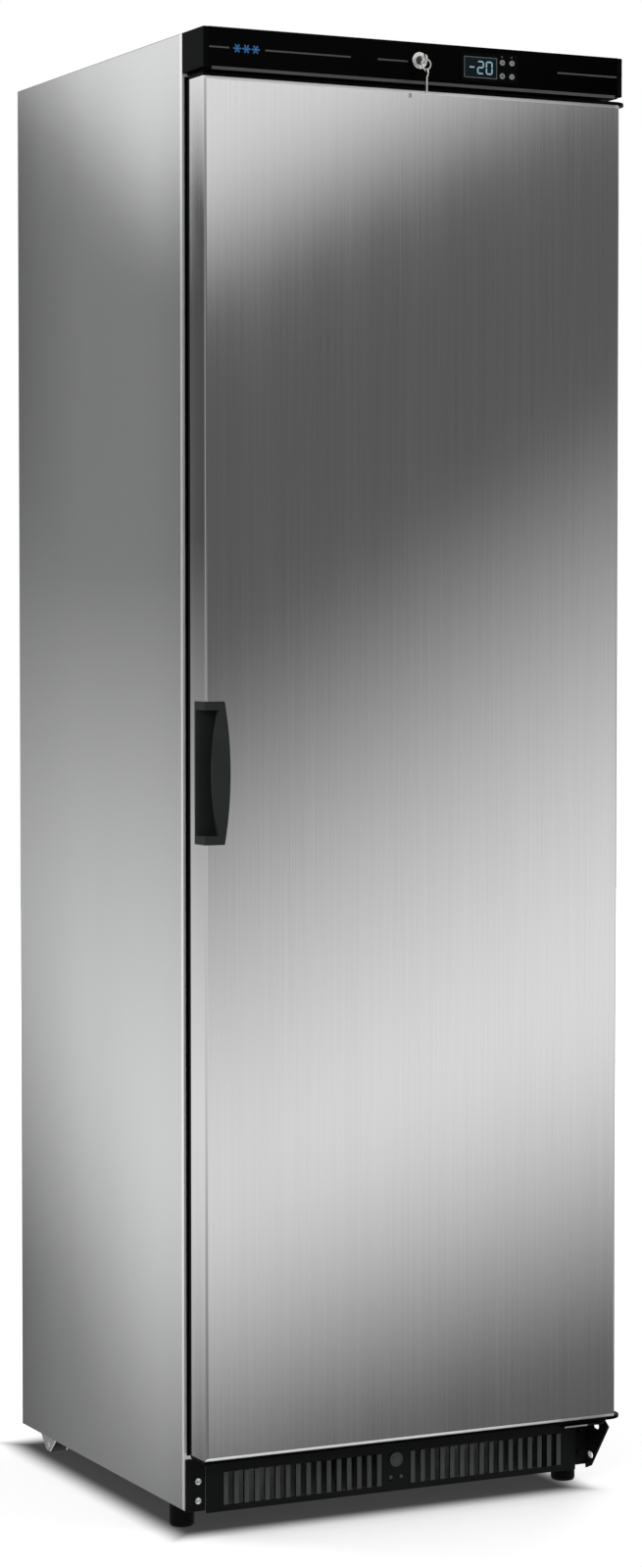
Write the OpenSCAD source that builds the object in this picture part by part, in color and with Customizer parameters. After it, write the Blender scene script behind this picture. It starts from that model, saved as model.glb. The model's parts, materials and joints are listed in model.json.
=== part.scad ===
// Upright storage refrigerator with one steel door, hinged on the right.
// The cabinet is drawn with x to the right, y to the back from the front
// plane of the cabinet, and z up from the floor. placed() then moves all of
// it, so that the origin lies under the middle of the whole refrigerator.

/* [Cabinet] */
// Width over the side panels
cab_w = 595; // [575:5:640]
// Depth from the front plane to the back
cab_d = 555; // [545:5:620]
// Height from the floor to the top
cab_h = 1880; // [1840:10:1940]
// Height of the underside above the floor
base_z = 30; // [28:1:36]
// Thickness of the steel sheets
skin_t = 0.8; // [0.6:0.1:1.2]
// Side wall with its insulation
wall_t = 47.5; // [44:0.5:52]
// Back wall with its insulation
back_t = 50; // [46:1:58]
// Roof with its insulation
roof_t = 92; // [86:1:98]
// Floor insulation above the plinth
floor_t = 47; // [40:1:56]
// Height of the plinth space
plinth_h = 68; // [64:1:74]
// Wall of the plastic inner liner
liner_t = 1.5; // [1:0.1:2.2]
// Width of the folded front edge of each side panel
fold_w = 30; // [27:0.5:34]
// Width of the folded rear edge of each side panel
rear_fold_w = 20; // [14:1:26]
// Depth of the machine compartment at the back
comp_d = 205; // [200:1:215]
// Height of the machine compartment above the underside
comp_h = 270; // [266:1:284]
// Insulation around the machine compartment
step_t = 45; // [40:1:50]

/* [Door] */
// Inset of the door's sides from the cabinet's sides
door_side = 2; // [0.5:0.5:7]
// Gap between the fascia and the door under it
door_head = 2.5; // [2.5:0.5:5]
// Thickness of the door without its gasket
door_t = 50; // [48:1:56]
// Gap between the door and the cabinet, filled by the gasket
door_gap = 13; // [12:0.5:15]
// Radius of the upright folds of the door sheet
door_fold_r = 3; // [2:0.5:4]
// Slanted fold along the top and bottom of the door front
door_bevel = 4.5; // [3:0.5:6]
// Width of the hem behind the door
hem_w = 13; // [10:0.5:14]
// Thickness of the plastic end caps of the door
cap_t = 4.5; // [3.5:0.5:6]
// Overhang of the round end of the caps past the door sheet
cap_reach = 18; // [14:0.5:20]
// Space between the raised door liner and the cavity walls
plug_gap = 10; // [9:0.5:16]
// Reach of the raised door liner into the cabinet
plug_in = 12; // [8:0.5:14]

/* [Gasket] */
// Width of the gasket
gasket_w = 20; // [18:0.5:22]
// Inset of the gasket from the sides of the door
gasket_in = 17.5; // [17:0.5:19]
// Inset of the gasket from the lower edge of the door
gasket_low = 10.5; // [9:0.5:12.5]
// Inset of the gasket from the upper edge of the door
gasket_high = 10.5; // [9:0.5:13]
// Space that the closed gasket leaves in front of the cabinet
gasket_play = 0.3; // [0.2:0.05:0.5]
// Thickness of the barb that holds the gasket
barb_t = 3; // [2.4:0.1:3.4]
// Depth of the barb in its groove
barb_d = 5; // [4:0.5:6]

/* [Hinge] */
// Inset of the hinge axis from the side of the cabinet
pivot_in = 17.5; // [17:0.5:20]
// Diameter of the hinge pins
pin_d = 10; // [8:0.5:11]
// Length of each pin inside the door
pin_len = 26; // [22:1:30]
// Wall of the hinge bushes
bush_t = 2; // [1.5:0.1:2.5]
// Thickness of the bushes' flanges
flange_t = 1.8; // [1.2:0.1:2.4]
// Radial play of turning parts
run_play = 0.05; // [0.03:0.01:0.08]
// Thickness of the hinge bracket steel
bracket_t = 2.5; // [2:0.1:3]
// Width of the hinge brackets
bracket_w = 69; // [64:1:76]
// Reach of the hinge brackets in front of the cabinet
bracket_reach = 60; // [56:0.5:61]
// Inset of the bracket's outer side from the cabinet's side
bracket_in = 7.5; // [7.3:0.1:9]

/* [Fascia] */
// Height of the fascia
fascia_h = 52.5; // [50.5:0.5:55.5]
// Reach of the fascia in front of the cabinet
fascia_d = 65; // [64:0.5:72]
// Thickness of the fascia end caps
end_cap_t = 7; // [5:0.5:7]
// Wall of the fascia housing
fascia_wall = 3; // [2.5:0.1:3.2]
// Thickness of the gloss front panel
panel_t = 1.5; // [1:0.1:2]
// Height of the lip under the front panel
lip_h = 4.5; // [4:0.5:5]
// How far the lip hangs below the end caps
lip_drop = 2.5; // [1:0.5:4]

/* [Lock and keys] */
// Height of the lock above the lower edge of the fascia
lock_up = 29.5; // [28.5:0.5:30.5]
// Diameter of the lock's front ring
lock_ring_d = 21; // [19:0.5:23]
// Diameter of the lock body
lock_body_d = 16; // [14.5:0.5:17]
// Diameter of the turning plug
plug_d = 11; // [10:0.5:12]
// Reach of the locking cam from the lock's axis
cam_reach = 37; // [35.5:0.5:37.5]
// Width of the locking cam
cam_w = 12; // [10:0.5:13]
// Whole length of each key
key_len = 31; // [30:0.5:32]
// Diameter of the key's bow
bow_d = 12; // [11.5:0.5:12.5]
// Thickness of the keys
key_t = 2; // [1.6:0.1:2.2]
// Diameter of the hole in the bow
bow_hole_d = 3.4; // [3.2:0.1:3.6]
// Diameter of the key ring to the middle of its wire
ring_d = 13; // [12.5:0.5:14]
// Thickness of the key ring's wire
ring_wire = 1.8; // [1.5:0.1:2]
// Gap between loosely hung pieces
hang_play = 0.12; // [0.1:0.01:0.2]

/* [Controller] */
// Width of the controller's frame
ctrl_w = 82; // [80:1:86]
// Height of the controller's frame
ctrl_h = 36; // [34:0.5:36]
// Place of the controller right of the middle
ctrl_x = 101; // [98:1:108]
// Depth of the controller body behind the front panel
ctrl_d = 38; // [30:1:42]
// Width of the display window
disp_w = 48; // [44:1:49]
// Height of the display window
disp_h = 27; // [24:0.5:28]
// Diameter of the buttons
btn_d = 7; // [6:0.5:8]
// Distance of the buttons across
btn_pitch_x = 14; // [12:0.5:15]
// Distance of the buttons up and down
btn_pitch_z = 17; // [15:0.5:19]
// Travel of the buttons
btn_travel = 0.8; // [0.5:0.1:1]
// Radial play of the buttons in their holes
btn_play = 0.15; // [0.1:0.01:0.2]

/* [Handle] */
// Height of the handle moulding
handle_h = 178; // [160:2:200]
// Height of the handle's middle above the floor
handle_z = 964; // [900:2:1050]
// Width of the handle on the door front at its middle
handle_w = 34; // [32:0.5:38]
// How much narrower the handle is at its ends
handle_bow = 8; // [5:0.5:9.5]
// Depth of the handle on the door side
handle_d = 30; // [28:0.5:32]
// Thickness of the handle's rim on the door
rim_t = 1.5; // [1:0.1:2]
// Wall of the finger pocket
pocket_t = 2.5; // [2:0.1:3]
// Thickness of the grip between finger pocket and front
grip_t = 5.5; // [4.5:0.5:6.5]
// How far the grip's curved edge draws back at its ends
grip_bow = 8; // [6:0.5:10]

/* [Plinth] */
// Inset of the grille's ends from the cabinet's sides
grille_in = 28.5; // [28:0.5:32]
// Height of the ventilation grille
grille_h = 67; // [62:1:72]
// Gap between the grille and the hinge arm over it
grille_gap = 3.5; // [3:0.5:6]
// Distance of the first bar from the middle
bank_in = 24.44; // [20:0.01:30]
// Least plain stretch at the outer ends of the grille
bank_end = 20; // [12:1:30]
// Distance from bar to bar
bar_pitch = 14.55; // [12:0.05:18]
// Width of one bar
bar_w = 6.5; // [5:0.5:8]
// Height of the bars
bar_h = 42; // [36:1:44]
// Height of the bars' lower ends above the grille's edge
bar_up = 8.5; // [6:0.5:12]
// Diameter of the round badge place
badge_d = 19; // [15:0.5:22]
// Space between the grille and the hinge bracket behind it
grille_back = 1; // [0.5:0.1:2]

/* [Feet and rollers] */
// Diameter of the front feet
foot_d = 32; // [28:1:34]
// Inset of the feet from the cabinet's sides
foot_in = 17.5; // [17.3:0.1:22]
// Distance of the feet behind the front plane
foot_y = 47; // [40:1:60]
// Diameter of the threaded studs
stud_d = 10; // [8:0.5:12]
// Diameter of the rear rollers
roller_d = 25; // [22:0.5:25.5]
// Width of the rear rollers
roller_w = 20; // [16:1:22]
// Distance of the roller axles from the back
roller_back = 67; // [55:1:80]
// Inset of the rollers' middles from the cabinet's sides
roller_in = 24.5; // [23.5:0.5:32]
// Diameter of the roller axles
axle_d = 6; // [5:0.5:7]
// Thickness of the roller cheeks
cheek_t = 2; // [1.5:0.1:2.4]

/* [Shelves] */
// Height of the lowest shelf above the floor
shelf_z = 480; // [460:5:500]
// Distance from shelf to shelf
shelf_pitch = 265; // [240:5:270]
// Diameter of the shelf frame wire
frame_wire = 6; // [5:0.5:7]
// Diameter of the thin shelf wires
thin_wire = 3.6; // [3:0.1:4]
// Number of thin wires in a shelf
wire_count = 18; // [12:1:22]
// Distance of the shelves behind the front plane
shelf_front = 28; // [20:1:50]
// Gap between the shelves and the back wall
shelf_back = 22; // [15:1:45]
// Width of the shelf uprights
upright_w = 22; // [18:1:26]
// Thickness of the shelf uprights on the wall
upright_t = 6; // [5:0.5:8]
// Distance of the uprights from the shelves' ends
upright_in = 42; // [30:1:60]
// Reach of the shelf clips from the uprights
clip_reach = 9; // [8:0.5:12]

/* [Cooling] */
// Gap between the evaporator cover and the side walls
cover_side = 15; // [6:1:24]
// Height of the evaporator cover
cover_h = 288; // [284:1:292]
// Depth of the evaporator cover
cover_d = 113; // [110:1:118]
// Wall of the evaporator cover
cover_t = 2; // [1.5:0.1:2.5]
// Diameter of the evaporator fan
evap_fan_d = 140; // [124:2:146]
// Diameter of the condenser fan
cond_fan_d = 170; // [150:2:176]
// Diameter of the compressor
comp_dia = 136; // [128:2:140]
// Height of the compressor shell
comp_shell_h = 140; // [130:2:145]
// Distance of the compressor's shell from the side of the cabinet
comp_side = 99.5; // [90:0.5:110]
// Distance of the condenser from the side of the cabinet
cond_side = 37.5; // [30:0.5:45]
// Width of the condenser
cond_w = 200; // [190:2:210]
// Depth of the condenser
cond_t = 50; // [46:1:54]
// Diameter of the suction line
suction_d = 8; // [6:0.5:9]
// Diameter of the thin capillary line
capillary_d = 3; // [2.5:0.5:4]
// Outer diameter of the drain pipe
drain_d = 16; // [12:1:18]
// Diameter of the coils' tubes
tube_d = 8; // [6:0.5:9.5]
// Thickness of the coils' fins
fin_t = 0.8; // [0.4:0.1:1]
// Diameter of the mains cable that the gland takes
cable_d = 8; // [6:0.5:9]

/* [Hidden] */

// Small overlap that lets a cut run past a face
over = 1;
// Gap between neighbouring pieces that don't touch
air = 0.3;

// Cabinet
half_w = cab_w / 2;
floor_z = base_z + plinth_h;
cav_x = half_w - wall_t;
cav_y = cab_d - back_t;
cav_z = floor_z + floor_t;
cav_top = cab_h - roof_t;
comp_y = cab_d - comp_d;
comp_top = base_z + comp_h;
step_y = comp_y - step_t;
step_z = comp_top + step_t;
inner_x = half_w - skin_t;
fold_x = half_w - fold_w;
frame_top = cav_top + fold_w - 0.5;
rear_y = cab_d - 2 * skin_t;
tray_t = 1.2;
tray_top = base_z + tray_t;
tray_flange = 20;

// Plinth grille, under the arm of the lower hinge
grille_x = half_w - grille_in;
grille_z = base_z - 5;
grille_top = grille_z + grille_h;
grille_t = 2;
grille_y = -bracket_t - grille_back - grille_t;
bar_z = grille_z + bar_up;
bar_count = floor((grille_x - bank_end - bar_w / 2 - bank_in) / bar_pitch)
    + 1;
badge_z = bar_z + 33;

// Door
fascia_z = cab_h - fascia_h;
arm_gap = flange_t + 0.2;
arm_top = grille_top + grille_gap + bracket_t;
door_front = -door_gap - door_t;
door_back = -door_gap;
door_x = half_w - door_side;
door_z = arm_top + arm_gap + cap_t;
door_top = fascia_z - door_head - cap_t;
pivot_x = half_w - pivot_in;
pivot_y = -door_gap - door_t / 2;
cap_front = door_front + door_bevel;
cap_r = (door_back - cap_front) / 2;
cap_end_x = door_x + cap_reach - cap_r;
liner_y = door_back - skin_t;
plug_x = cav_x - plug_gap;
plug_z = cav_z + plug_gap;
plug_top = cav_top - plug_gap;
gasket_x = door_x - gasket_in;
gasket_z = door_z + gasket_low;
gasket_top = door_top - gasket_high;
groove_play = 0.4;
boss_t = 5;
boss_d = pin_d + 2 * bush_t + 2 * boss_t;
bush_d = pin_d + 2 * run_play + 2 * bush_t;
bush_flange_d = bush_d + 6;
bush_len = pin_len + 2;
arm_bottom = fascia_z + fascia_wall + air;
bracket_x = half_w - bracket_in;

// Fascia
fascia_front = -fascia_d;
housing_x = half_w - end_cap_t;
lock_z = fascia_z + lock_up;
ctrl_z = fascia_z + lip_h + (fascia_h - lip_h) / 2 - 1.75;
ctrl_lip = 1.2;
ctrl_front = fascia_front - ctrl_lip;
disp_x = ctrl_x - ctrl_w / 2 + 4 + disp_w / 2;
btn_x = ctrl_x + ctrl_w / 2 - 9 - btn_pitch_x / 2;
btn_proud = 1.5;
btn_back = ctrl_front + 3;

// Lock
lock_head = 3;
lock_front = fascia_front - lock_head;
lock_end = fascia_front + 27;
cam_t = 2.5;
strike_d = 12;
cam_y = lock_end + 0.5;
bow_r = bow_d / 2;
hole_in = 2.5;
key_front = lock_front - 19;
hole_y = key_front + hole_in;
key_tip = key_front + key_len;
blade_h = 6;
ring_wire_z = lock_z - bow_hole_d / 2 + ring_wire / 2 + hang_play;
ring_z = ring_wire_z - ring_d / 2;
spare_wire_z = ring_z - ring_d / 2;
spare_hole_z = spare_wire_z + ring_wire / 2 + hang_play - bow_hole_d / 2;
spare_top = spare_hole_z + hole_in;

// Handle
handle_front = door_front - rim_t;
handle_left = -door_x - rim_t;
handle_lo = handle_z - handle_h / 2;
handle_hi = handle_z + handle_h / 2;
handle_right = -door_x + handle_w;
rim_edge = 6;
handle_r = (pow(handle_h / 2, 2) + pow(handle_bow, 2)) / (2 * handle_bow);
pocket_lo = handle_lo + rim_edge + pocket_t * 2;
pocket_hi = handle_hi - rim_edge - pocket_t * 2;
pocket_front = door_front + grip_t - rim_t + 1;
pocket_back = door_front + handle_d - pocket_t - 2;
pocket_right = handle_right - pocket_t - 2;
grip_r = (pow((pocket_hi - pocket_lo) / 2, 2) + pow(grip_bow, 2))
    / (2 * grip_bow);
grip_left = -door_x + 9.5;
cut_right = handle_right - handle_bow - 2;

// Feet and rollers
foot_x = half_w - foot_in;
stud_top = base_z + 30;
nut_h = 10;
nut_d = stud_d + 9;
roller_x = half_w - roller_in;
roller_y = cab_d - roller_back;
roller_z = roller_d / 2;
cheek_gap = 1;
cheek_reach = 30;
cheek_low = 4;
rivet_t = 1.5;

// Shelves and uprights
upright_x = cav_x - upright_t;
side_wire = frame_wire * 1.1;
shelf_x = upright_x - side_wire / 2 - air;
shelf_end = cav_y - shelf_back;
shelf_rod_z = shelf_z - frame_wire / 2 - thin_wire / 2 + 0.6;
clip_top = shelf_rod_z - side_wire / 2 - hang_play;
clip_h = 4;
clip_w = 14;
upright_ys = [shelf_front + upright_in, shelf_end - upright_in];

// Cooling
cover_x = cav_x - cover_side;
cover_y = cav_y - cover_d;
cover_z = cav_top - cover_h;
evap_fan_z = cav_top - evap_fan_d / 2 - 18;
guard_gap = 4;
guard_rib = 3;
guard_pitch = 18;
air_slot_w = 12;
air_slot_pitch = 22;
air_slot_y = cover_y + 18;
air_slot_d = 20;
pipe_y = cav_y + back_t / 2;
suction_x = cover_x - 20;
capillary_x = cover_x - 7;
line_z = cover_z + 105;

// Evaporator coil
coil_y = [cav_y - 75, cav_y - 35];
coil_rows = 4;
coil_pitch = 25;
coil_x = cover_x - 40;
coil_z = line_z - (coil_rows - 1) * coil_pitch;
coil_end = 12;
bend_x = 5;
fin_count = 27;
fin_over = 18;
fin_low = 14;
fin_high = 10;

// Compressor
comp_x = half_w - comp_side - comp_dia / 2;
comp_cy = comp_y + comp_dia / 2 + 32;
comp_z = tray_top + 22;
comp_top_z = comp_z + comp_shell_h;
comp_dome = 22;
comp_seam = 3;
comp_plate_x = 92;
comp_plate_y = 55;
comp_plate_low = 4;
comp_plate_high = 2;
comp_hole_x = 78;
comp_hole_y = 42;
comp_hole_d = 12;
term_w = 48;
term_out = 22;
term_z = comp_z + 30;
term_h = 54;
buffer_d = 24;
buffer_head = 4;
port_z = comp_z + 66;
port_len = 10;
port_d = 8;

// Condenser
cond_x = -half_w + cond_side + cond_w / 2;
cond_y = comp_y + 15;
cond_rows = 6;
cond_pitch = 30;
cond_fins = 24;
cond_up = 33;
cond_low_z = tray_top + cond_up;
cond_z = cond_low_z + (cond_rows - 1) * cond_pitch / 2;
cond_high_z = cond_low_z + (cond_rows - 0.5) * cond_pitch;
cond_ys = [cond_y + cond_t * 0.28, cond_y + cond_t * 0.72];
cond_plate_in = 8;
cond_stub = 30;
cond_end = cond_x + cond_w / 2 - cond_plate_in + cond_stub;
shroud_y = cond_y + cond_t + 4;
shroud_t = 2;
shroud_play = 4;
cond_fan_y = shroud_y + 8;
loop_x = comp_x - comp_dia / 2 - port_len - 14;
line_d = 6;
drier_x = (cond_end + loop_x) / 2;
drier_d = 20;
drier_len = 90;

// Drain water
drain_x = comp_x - 30;
drain_z = cover_z + 14;
drain_in = 15;
drain_t = 2;
pan_h = 30;
pan_t = 2;
pan_left = 70;
pan_right = 60;
pan_front = 45;
pan_back = 12;

// Rear grille and the cable's gland
vent_t = 5;
vent_y = cab_d - skin_t - vent_t;
vent_rim = 12;
vent_slot_w = 6;
vent_slot_h = 85;
vent_pitch = 13.6;
vent_side = 28;
gland_x = half_w - 38;
gland_z = base_z + 42;
gland_body_d = cable_d + 8;
gland_head_d = cable_d + 14;

// Screws as [x, z] on the front plane of the cabinet
screw_d = 4;
screw_len = 9;
low_screws = [[half_w - 21, base_z + 16], [half_w - 21, base_z + 46]];
top_screws = [[half_w - 62, cab_h - 24], [half_w - 21, cab_h - 24]];
plate_screws = [[-half_w + 17, base_z + 12], [-half_w + 17, base_z + 36.6]];

// Colours
steel = [0.72, 0.73, 0.74];
black = [0.05, 0.05, 0.055];
zinc = [0.8, 0.8, 0.78];
white = [0.93, 0.94, 0.94];
foam_tone = [0.93, 0.87, 0.66];
copper = [0.72, 0.43, 0.27];

// The middle of the whole refrigerator lies over the origin
right_reach = cap_end_x + cap_r;
left_reach = -max(half_w, door_x + rim_t);
mid_x = (left_reach + right_reach) / 2;
front_reach = min(key_front, hole_y - bow_r);
mid_y = (cab_d + front_reach) / 2;

module placed() {
    translate([-mid_x, -mid_y, 0]) children();
}

module block(from, to) {
    translate(from) cube(to - from);
}

// A round bar from one point to another
module rod(from, to, d) {
    v = to - from;
    translate(from)
        rotate([0, acos(v[2] / norm(v)), atan2(v[1], v[0])])
            cylinder(h = norm(v), d = d, $fn = 48);
}

// A round bar along y
module bar_y(x, z, y0, y1, d) {
    translate([x, y0, z]) rotate([-90, 0, 0])
        cylinder(h = y1 - y0, d = d, $fn = 64);
}

// A pipe along a list of points, with a ball in each bend
module pipe(points, d) {
    for (i = [0 : len(points) - 2]) rod(points[i], points[i + 1], d);
    for (i = [1 : len(points) - 2])
        translate(points[i]) sphere(d = d * 1.12, $fn = 48);
}

// Upright slab with round upright edges
module round_slab(x0, x1, y0, y1, z0, z1, r) {
    block([x0 + r, y0, z0], [x1 - r, y1, z1]);
    block([x0, y0 + r, z0], [x1, y1 - r, z1]);
    for (x = [x0 + r, x1 - r], y = [y0 + r, y1 - r])
        translate([x, y, z0]) cylinder(h = z1 - z0, r = r, $fn = 48);
}

// Fills the outline given in y and z between two x values
module side_shape(points, x0, x1) {
    translate([x0, 0, 0]) rotate([90, 0, 90])
        linear_extrude(x1 - x0) polygon(points);
}

module screw_holes(places, d, y0, y1) {
    for (p = places) bar_y(p[0], p[1], y0, y1, d);
}

module screws(places, plate_y) {
    for (p = places) {
        bar_y(p[0], p[1], plate_y, screw_len, screw_d);
        difference() {
            bar_y(p[0], p[1], plate_y - 2.4, plate_y, screw_d * 2.1);
            for (a = [45, 135]) translate([p[0], plate_y - 2, p[1]])
                rotate([0, a, 0]) cube([5, 2, 1], center = true);
        }
    }
}

// The storage space, made larger on every closed side by grow
module cavity(grow, front) {
    difference() {
        block([-cav_x - grow, front, cav_z - grow],
            [cav_x + grow, cav_y + grow, cav_top + grow]);
        block([-half_w, step_y + grow, 0],
            [half_w, cab_d, step_z - grow]);
    }
}

// Round ways for the pipes through the back of the cabinet
module pipe_ways(play) {
    translate([drain_x, pipe_y, comp_top - over])
        cylinder(h = drain_z - comp_top + over, d = drain_d + play, $fn = 64);
    bar_y(drain_x, drain_z, cav_y - over, pipe_y, drain_d + play);
    translate([drain_x, pipe_y, drain_z])
        sphere(d = drain_d * 1.12 + play, $fn = 48);
    for (p = [[suction_x, suction_d], [capillary_x, capillary_d]]) {
        translate([p[0], pipe_y, comp_top - over])
            cylinder(h = line_z - comp_top + over, d = p[1] + play, $fn = 48);
        bar_y(p[0], line_z, cav_y - over, pipe_y, p[1] + play);
        translate([p[0], pipe_y, line_z])
            sphere(d = p[1] * 1.12 + play, $fn = 48);
    }
}

module side_panel(side) {
    difference() {
        union() {
            block([inner_x, 0, base_z], [half_w, cab_d, cab_h - skin_t]);
            block([fold_x, 0, base_z], [inner_x, skin_t, cab_h - skin_t]);
            block([half_w - rear_fold_w, cab_d - skin_t, base_z],
                [inner_x, cab_d, cab_h - skin_t]);
        }
        if (side == 1) {
            screw_holes(low_screws, screw_d + 2 * air, -over, over + skin_t);
            screw_holes([top_screws[1]], screw_d + 2 * air, -over,
                over + skin_t);
        }
        if (side == -1) mirror([1, 0, 0])
            screw_holes(plate_screws, screw_d + 2 * air, -over,
                over + skin_t);
    }
}

module left_side_panel() {
    color(steel) placed() mirror([1, 0, 0]) side_panel(-1);
}

module right_side_panel() {
    color(steel) placed() side_panel(1);
}

module top_panel() {
    color(steel) placed() difference() {
        union() {
            block([-half_w, 0, cab_h - skin_t], [half_w, cab_d, cab_h]);
            block([-fold_x, 0, frame_top], [fold_x, skin_t, cab_h - skin_t]);
            block([-half_w + rear_fold_w, cab_d - skin_t,
                cab_h - rear_fold_w],
                [half_w - rear_fold_w, cab_d, cab_h - skin_t]);
        }
        screw_holes([top_screws[0]], screw_d + 2 * air, -over,
            over + skin_t);
    }
}

module rear_panel() {
    color(steel) placed()
        block([-inner_x, rear_y, comp_top],
            [inner_x, cab_d - skin_t, cab_h - skin_t]);
}

// Stepped sheet under the insulated floor and over the machine compartment
module base_panel() {
    color(zinc) placed() difference() {
        union() {
            block([-inner_x, skin_t, floor_z - skin_t],
                [inner_x, comp_y, floor_z]);
            block([-inner_x, comp_y - skin_t, floor_z - skin_t],
                [inner_x, comp_y, comp_top + skin_t]);
            block([-inner_x, comp_y, comp_top],
                [inner_x, rear_y, comp_top + skin_t]);
        }
        pipe_ways(2 * air);
    }
}

// Closed floor of the plinth, with a welded nut over each foot
module base_tray() {
    color(zinc) placed() difference() {
        union() {
            block([-inner_x, skin_t, base_z], [inner_x, cab_d - skin_t,
                tray_top]);
            for (x = [-inner_x, inner_x - tray_t])
                block([x, skin_t, base_z],
                    [x + tray_t, rear_y, base_z + tray_flange]);
            block([-inner_x, skin_t, base_z],
                [inner_x, skin_t + tray_t, base_z + 3]);
            for (x = [-foot_x, foot_x]) translate([x, foot_y, base_z])
                cylinder(h = tray_t + nut_h, d = nut_d, $fn = 6);
        }
        for (x = [-foot_x, foot_x]) translate([x, foot_y, base_z - over])
            cylinder(h = nut_h + 4, d = stud_d + 2 * run_play, $fn = 64);
    }
}

module cabinet_foam() {
    color(foam_tone) placed() difference() {
        block([-inner_x, skin_t, floor_z],
            [inner_x, rear_y, cab_h - skin_t]);
        cavity(liner_t, 0);
        block([-half_w, comp_y - skin_t, 0],
            [half_w, cab_d, comp_top + skin_t]);
        pipe_ways(2 * air);
        screw_holes(top_screws, screw_d + 2 * air, 0, screw_len + 1);
    }
}

module inner_liner() {
    color(white) placed() difference() {
        union() {
            cavity(liner_t, 0);
            block([-fold_x, 0, floor_z], [fold_x, skin_t, frame_top]);
        }
        cavity(0, -over);
        pipe_ways(2 * air);
    }
}

// Plinth grille: two banks of raised bars with open slots between them
module front_grille() {
    back_y = grille_y + grille_t;
    bar_out = 1.2;
    clip_w = 36;
    slot_w = bar_pitch - bar_w - 0.8;
    color(black) placed() difference() {
        union() {
            block([-grille_x, grille_y, grille_z],
                [grille_x, back_y, grille_top]);
            for (x = [-grille_x, grille_x - grille_t])
                block([x, grille_y, grille_z],
                    [x + grille_t, -bracket_t, grille_top]);
            for (s = [-1, 1], i = [0 : bar_count - 1])
                translate([s * (bank_in + i * bar_pitch) - bar_w / 2,
                    grille_y - bar_out, bar_z])
                    cube([bar_w, grille_t, bar_h]);
            for (x = [-grille_x + grille_t, 0, grille_x - clip_w - grille_t])
                block([x, grille_y, grille_z],
                    [x + clip_w, skin_t, grille_z + 4]);
            bar_y(0, badge_z, grille_y - grille_t, grille_y + 1, badge_d);
        }
        for (s = [-1, 1], i = [0 : bar_count - 2])
            translate([s * (bank_in + (i + 0.5) * bar_pitch) - slot_w / 2,
                grille_y - over, bar_z])
                cube([slot_w, grille_t + 4, bar_h]);
        difference() {
            bar_y(0, badge_z, grille_y - grille_t - over, grille_y - bar_out,
                badge_d - 3);
            bar_y(0, badge_z, grille_y - grille_t - 2 * over, grille_y,
                badge_d / 2 - 0.5);
        }
        for (x = [-7.5, 7.5])
            bar_y(x, bar_z + 6.5, grille_y - over, back_y + over, 4);
        block([-grille_x + grille_t, -over, base_z],
            [grille_x - grille_t, skin_t + over, base_z + 6]);
    }
}

module corner_plate() {
    color(black) placed() difference() {
        block([-half_w + 1, -bracket_t, base_z - 2],
            [-grille_x - 1, 0, grille_top + 3]);
        screw_holes(plate_screws, screw_d + 2 * air, -bracket_t - over,
            over);
    }
}

// Bent steel bracket under the door, with its welded pin
module lower_hinge_bracket() {
    low = base_z - 6;
    front = -bracket_reach;
    color(black) placed() {
        difference() {
            union() {
                block([bracket_x - bracket_w, -bracket_t, base_z],
                    [bracket_x, 0, arm_top]);
                translate([0, 0, arm_top - bracket_t])
                    linear_extrude(bracket_t)
                        polygon([[bracket_x - bracket_w, 0],
                            [bracket_x - bracket_w, front],
                            [bracket_x - 12, front],
                            [bracket_x, front + 12], [bracket_x, 0]]);
                side_shape([[0, low], [-14, base_z],
                    [front + 2, arm_top - 8], [front + 12, arm_top - 1],
                    [0, arm_top - 1]], bracket_x - bracket_t, bracket_x);
                translate([pivot_x, pivot_y, arm_top - bracket_t])
                    cylinder(h = bracket_t + arm_gap + pin_len, d = pin_d,
                        $fn = 64);
            }
            for (p = [[-11.5, base_z + 14], [-27, arm_top - 12]]) hull()
                for (y = [p[0] - 3.5, p[0] + 3.5])
                    translate([bracket_x - bracket_t - over, y, p[1]])
                        rotate([0, 90, 0])
                            cylinder(h = bracket_t + 2 * over, d = 9,
                                $fn = 48);
            screw_holes(low_screws, screw_d + 2 * air, -bracket_t - over,
                over);
        }
    }
}

// Bracket inside the fascia, with its pin down into the door
module upper_hinge_bracket() {
    color(zinc) placed() difference() {
        union() {
            block([bracket_x - bracket_w, -bracket_t, arm_bottom],
                [bracket_x, 0, cab_h - 8]);
            block([bracket_x - bracket_w, -bracket_reach + 5, arm_bottom],
                [bracket_x, 0, arm_bottom + bracket_t]);
            translate([pivot_x, pivot_y, door_top + cap_t - pin_len])
                cylinder(h = arm_bottom + bracket_t - door_top - cap_t
                    + pin_len, d = pin_d, $fn = 64);
        }
        screw_holes(top_screws, screw_d + 2 * air, -bracket_t - over, over);
    }
}

module cabinet_screws() {
    color(zinc) placed() {
        screws(low_screws, -bracket_t);
        screws(top_screws, -bracket_t);
        screws(plate_screws, -bracket_t);
    }
}

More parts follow.
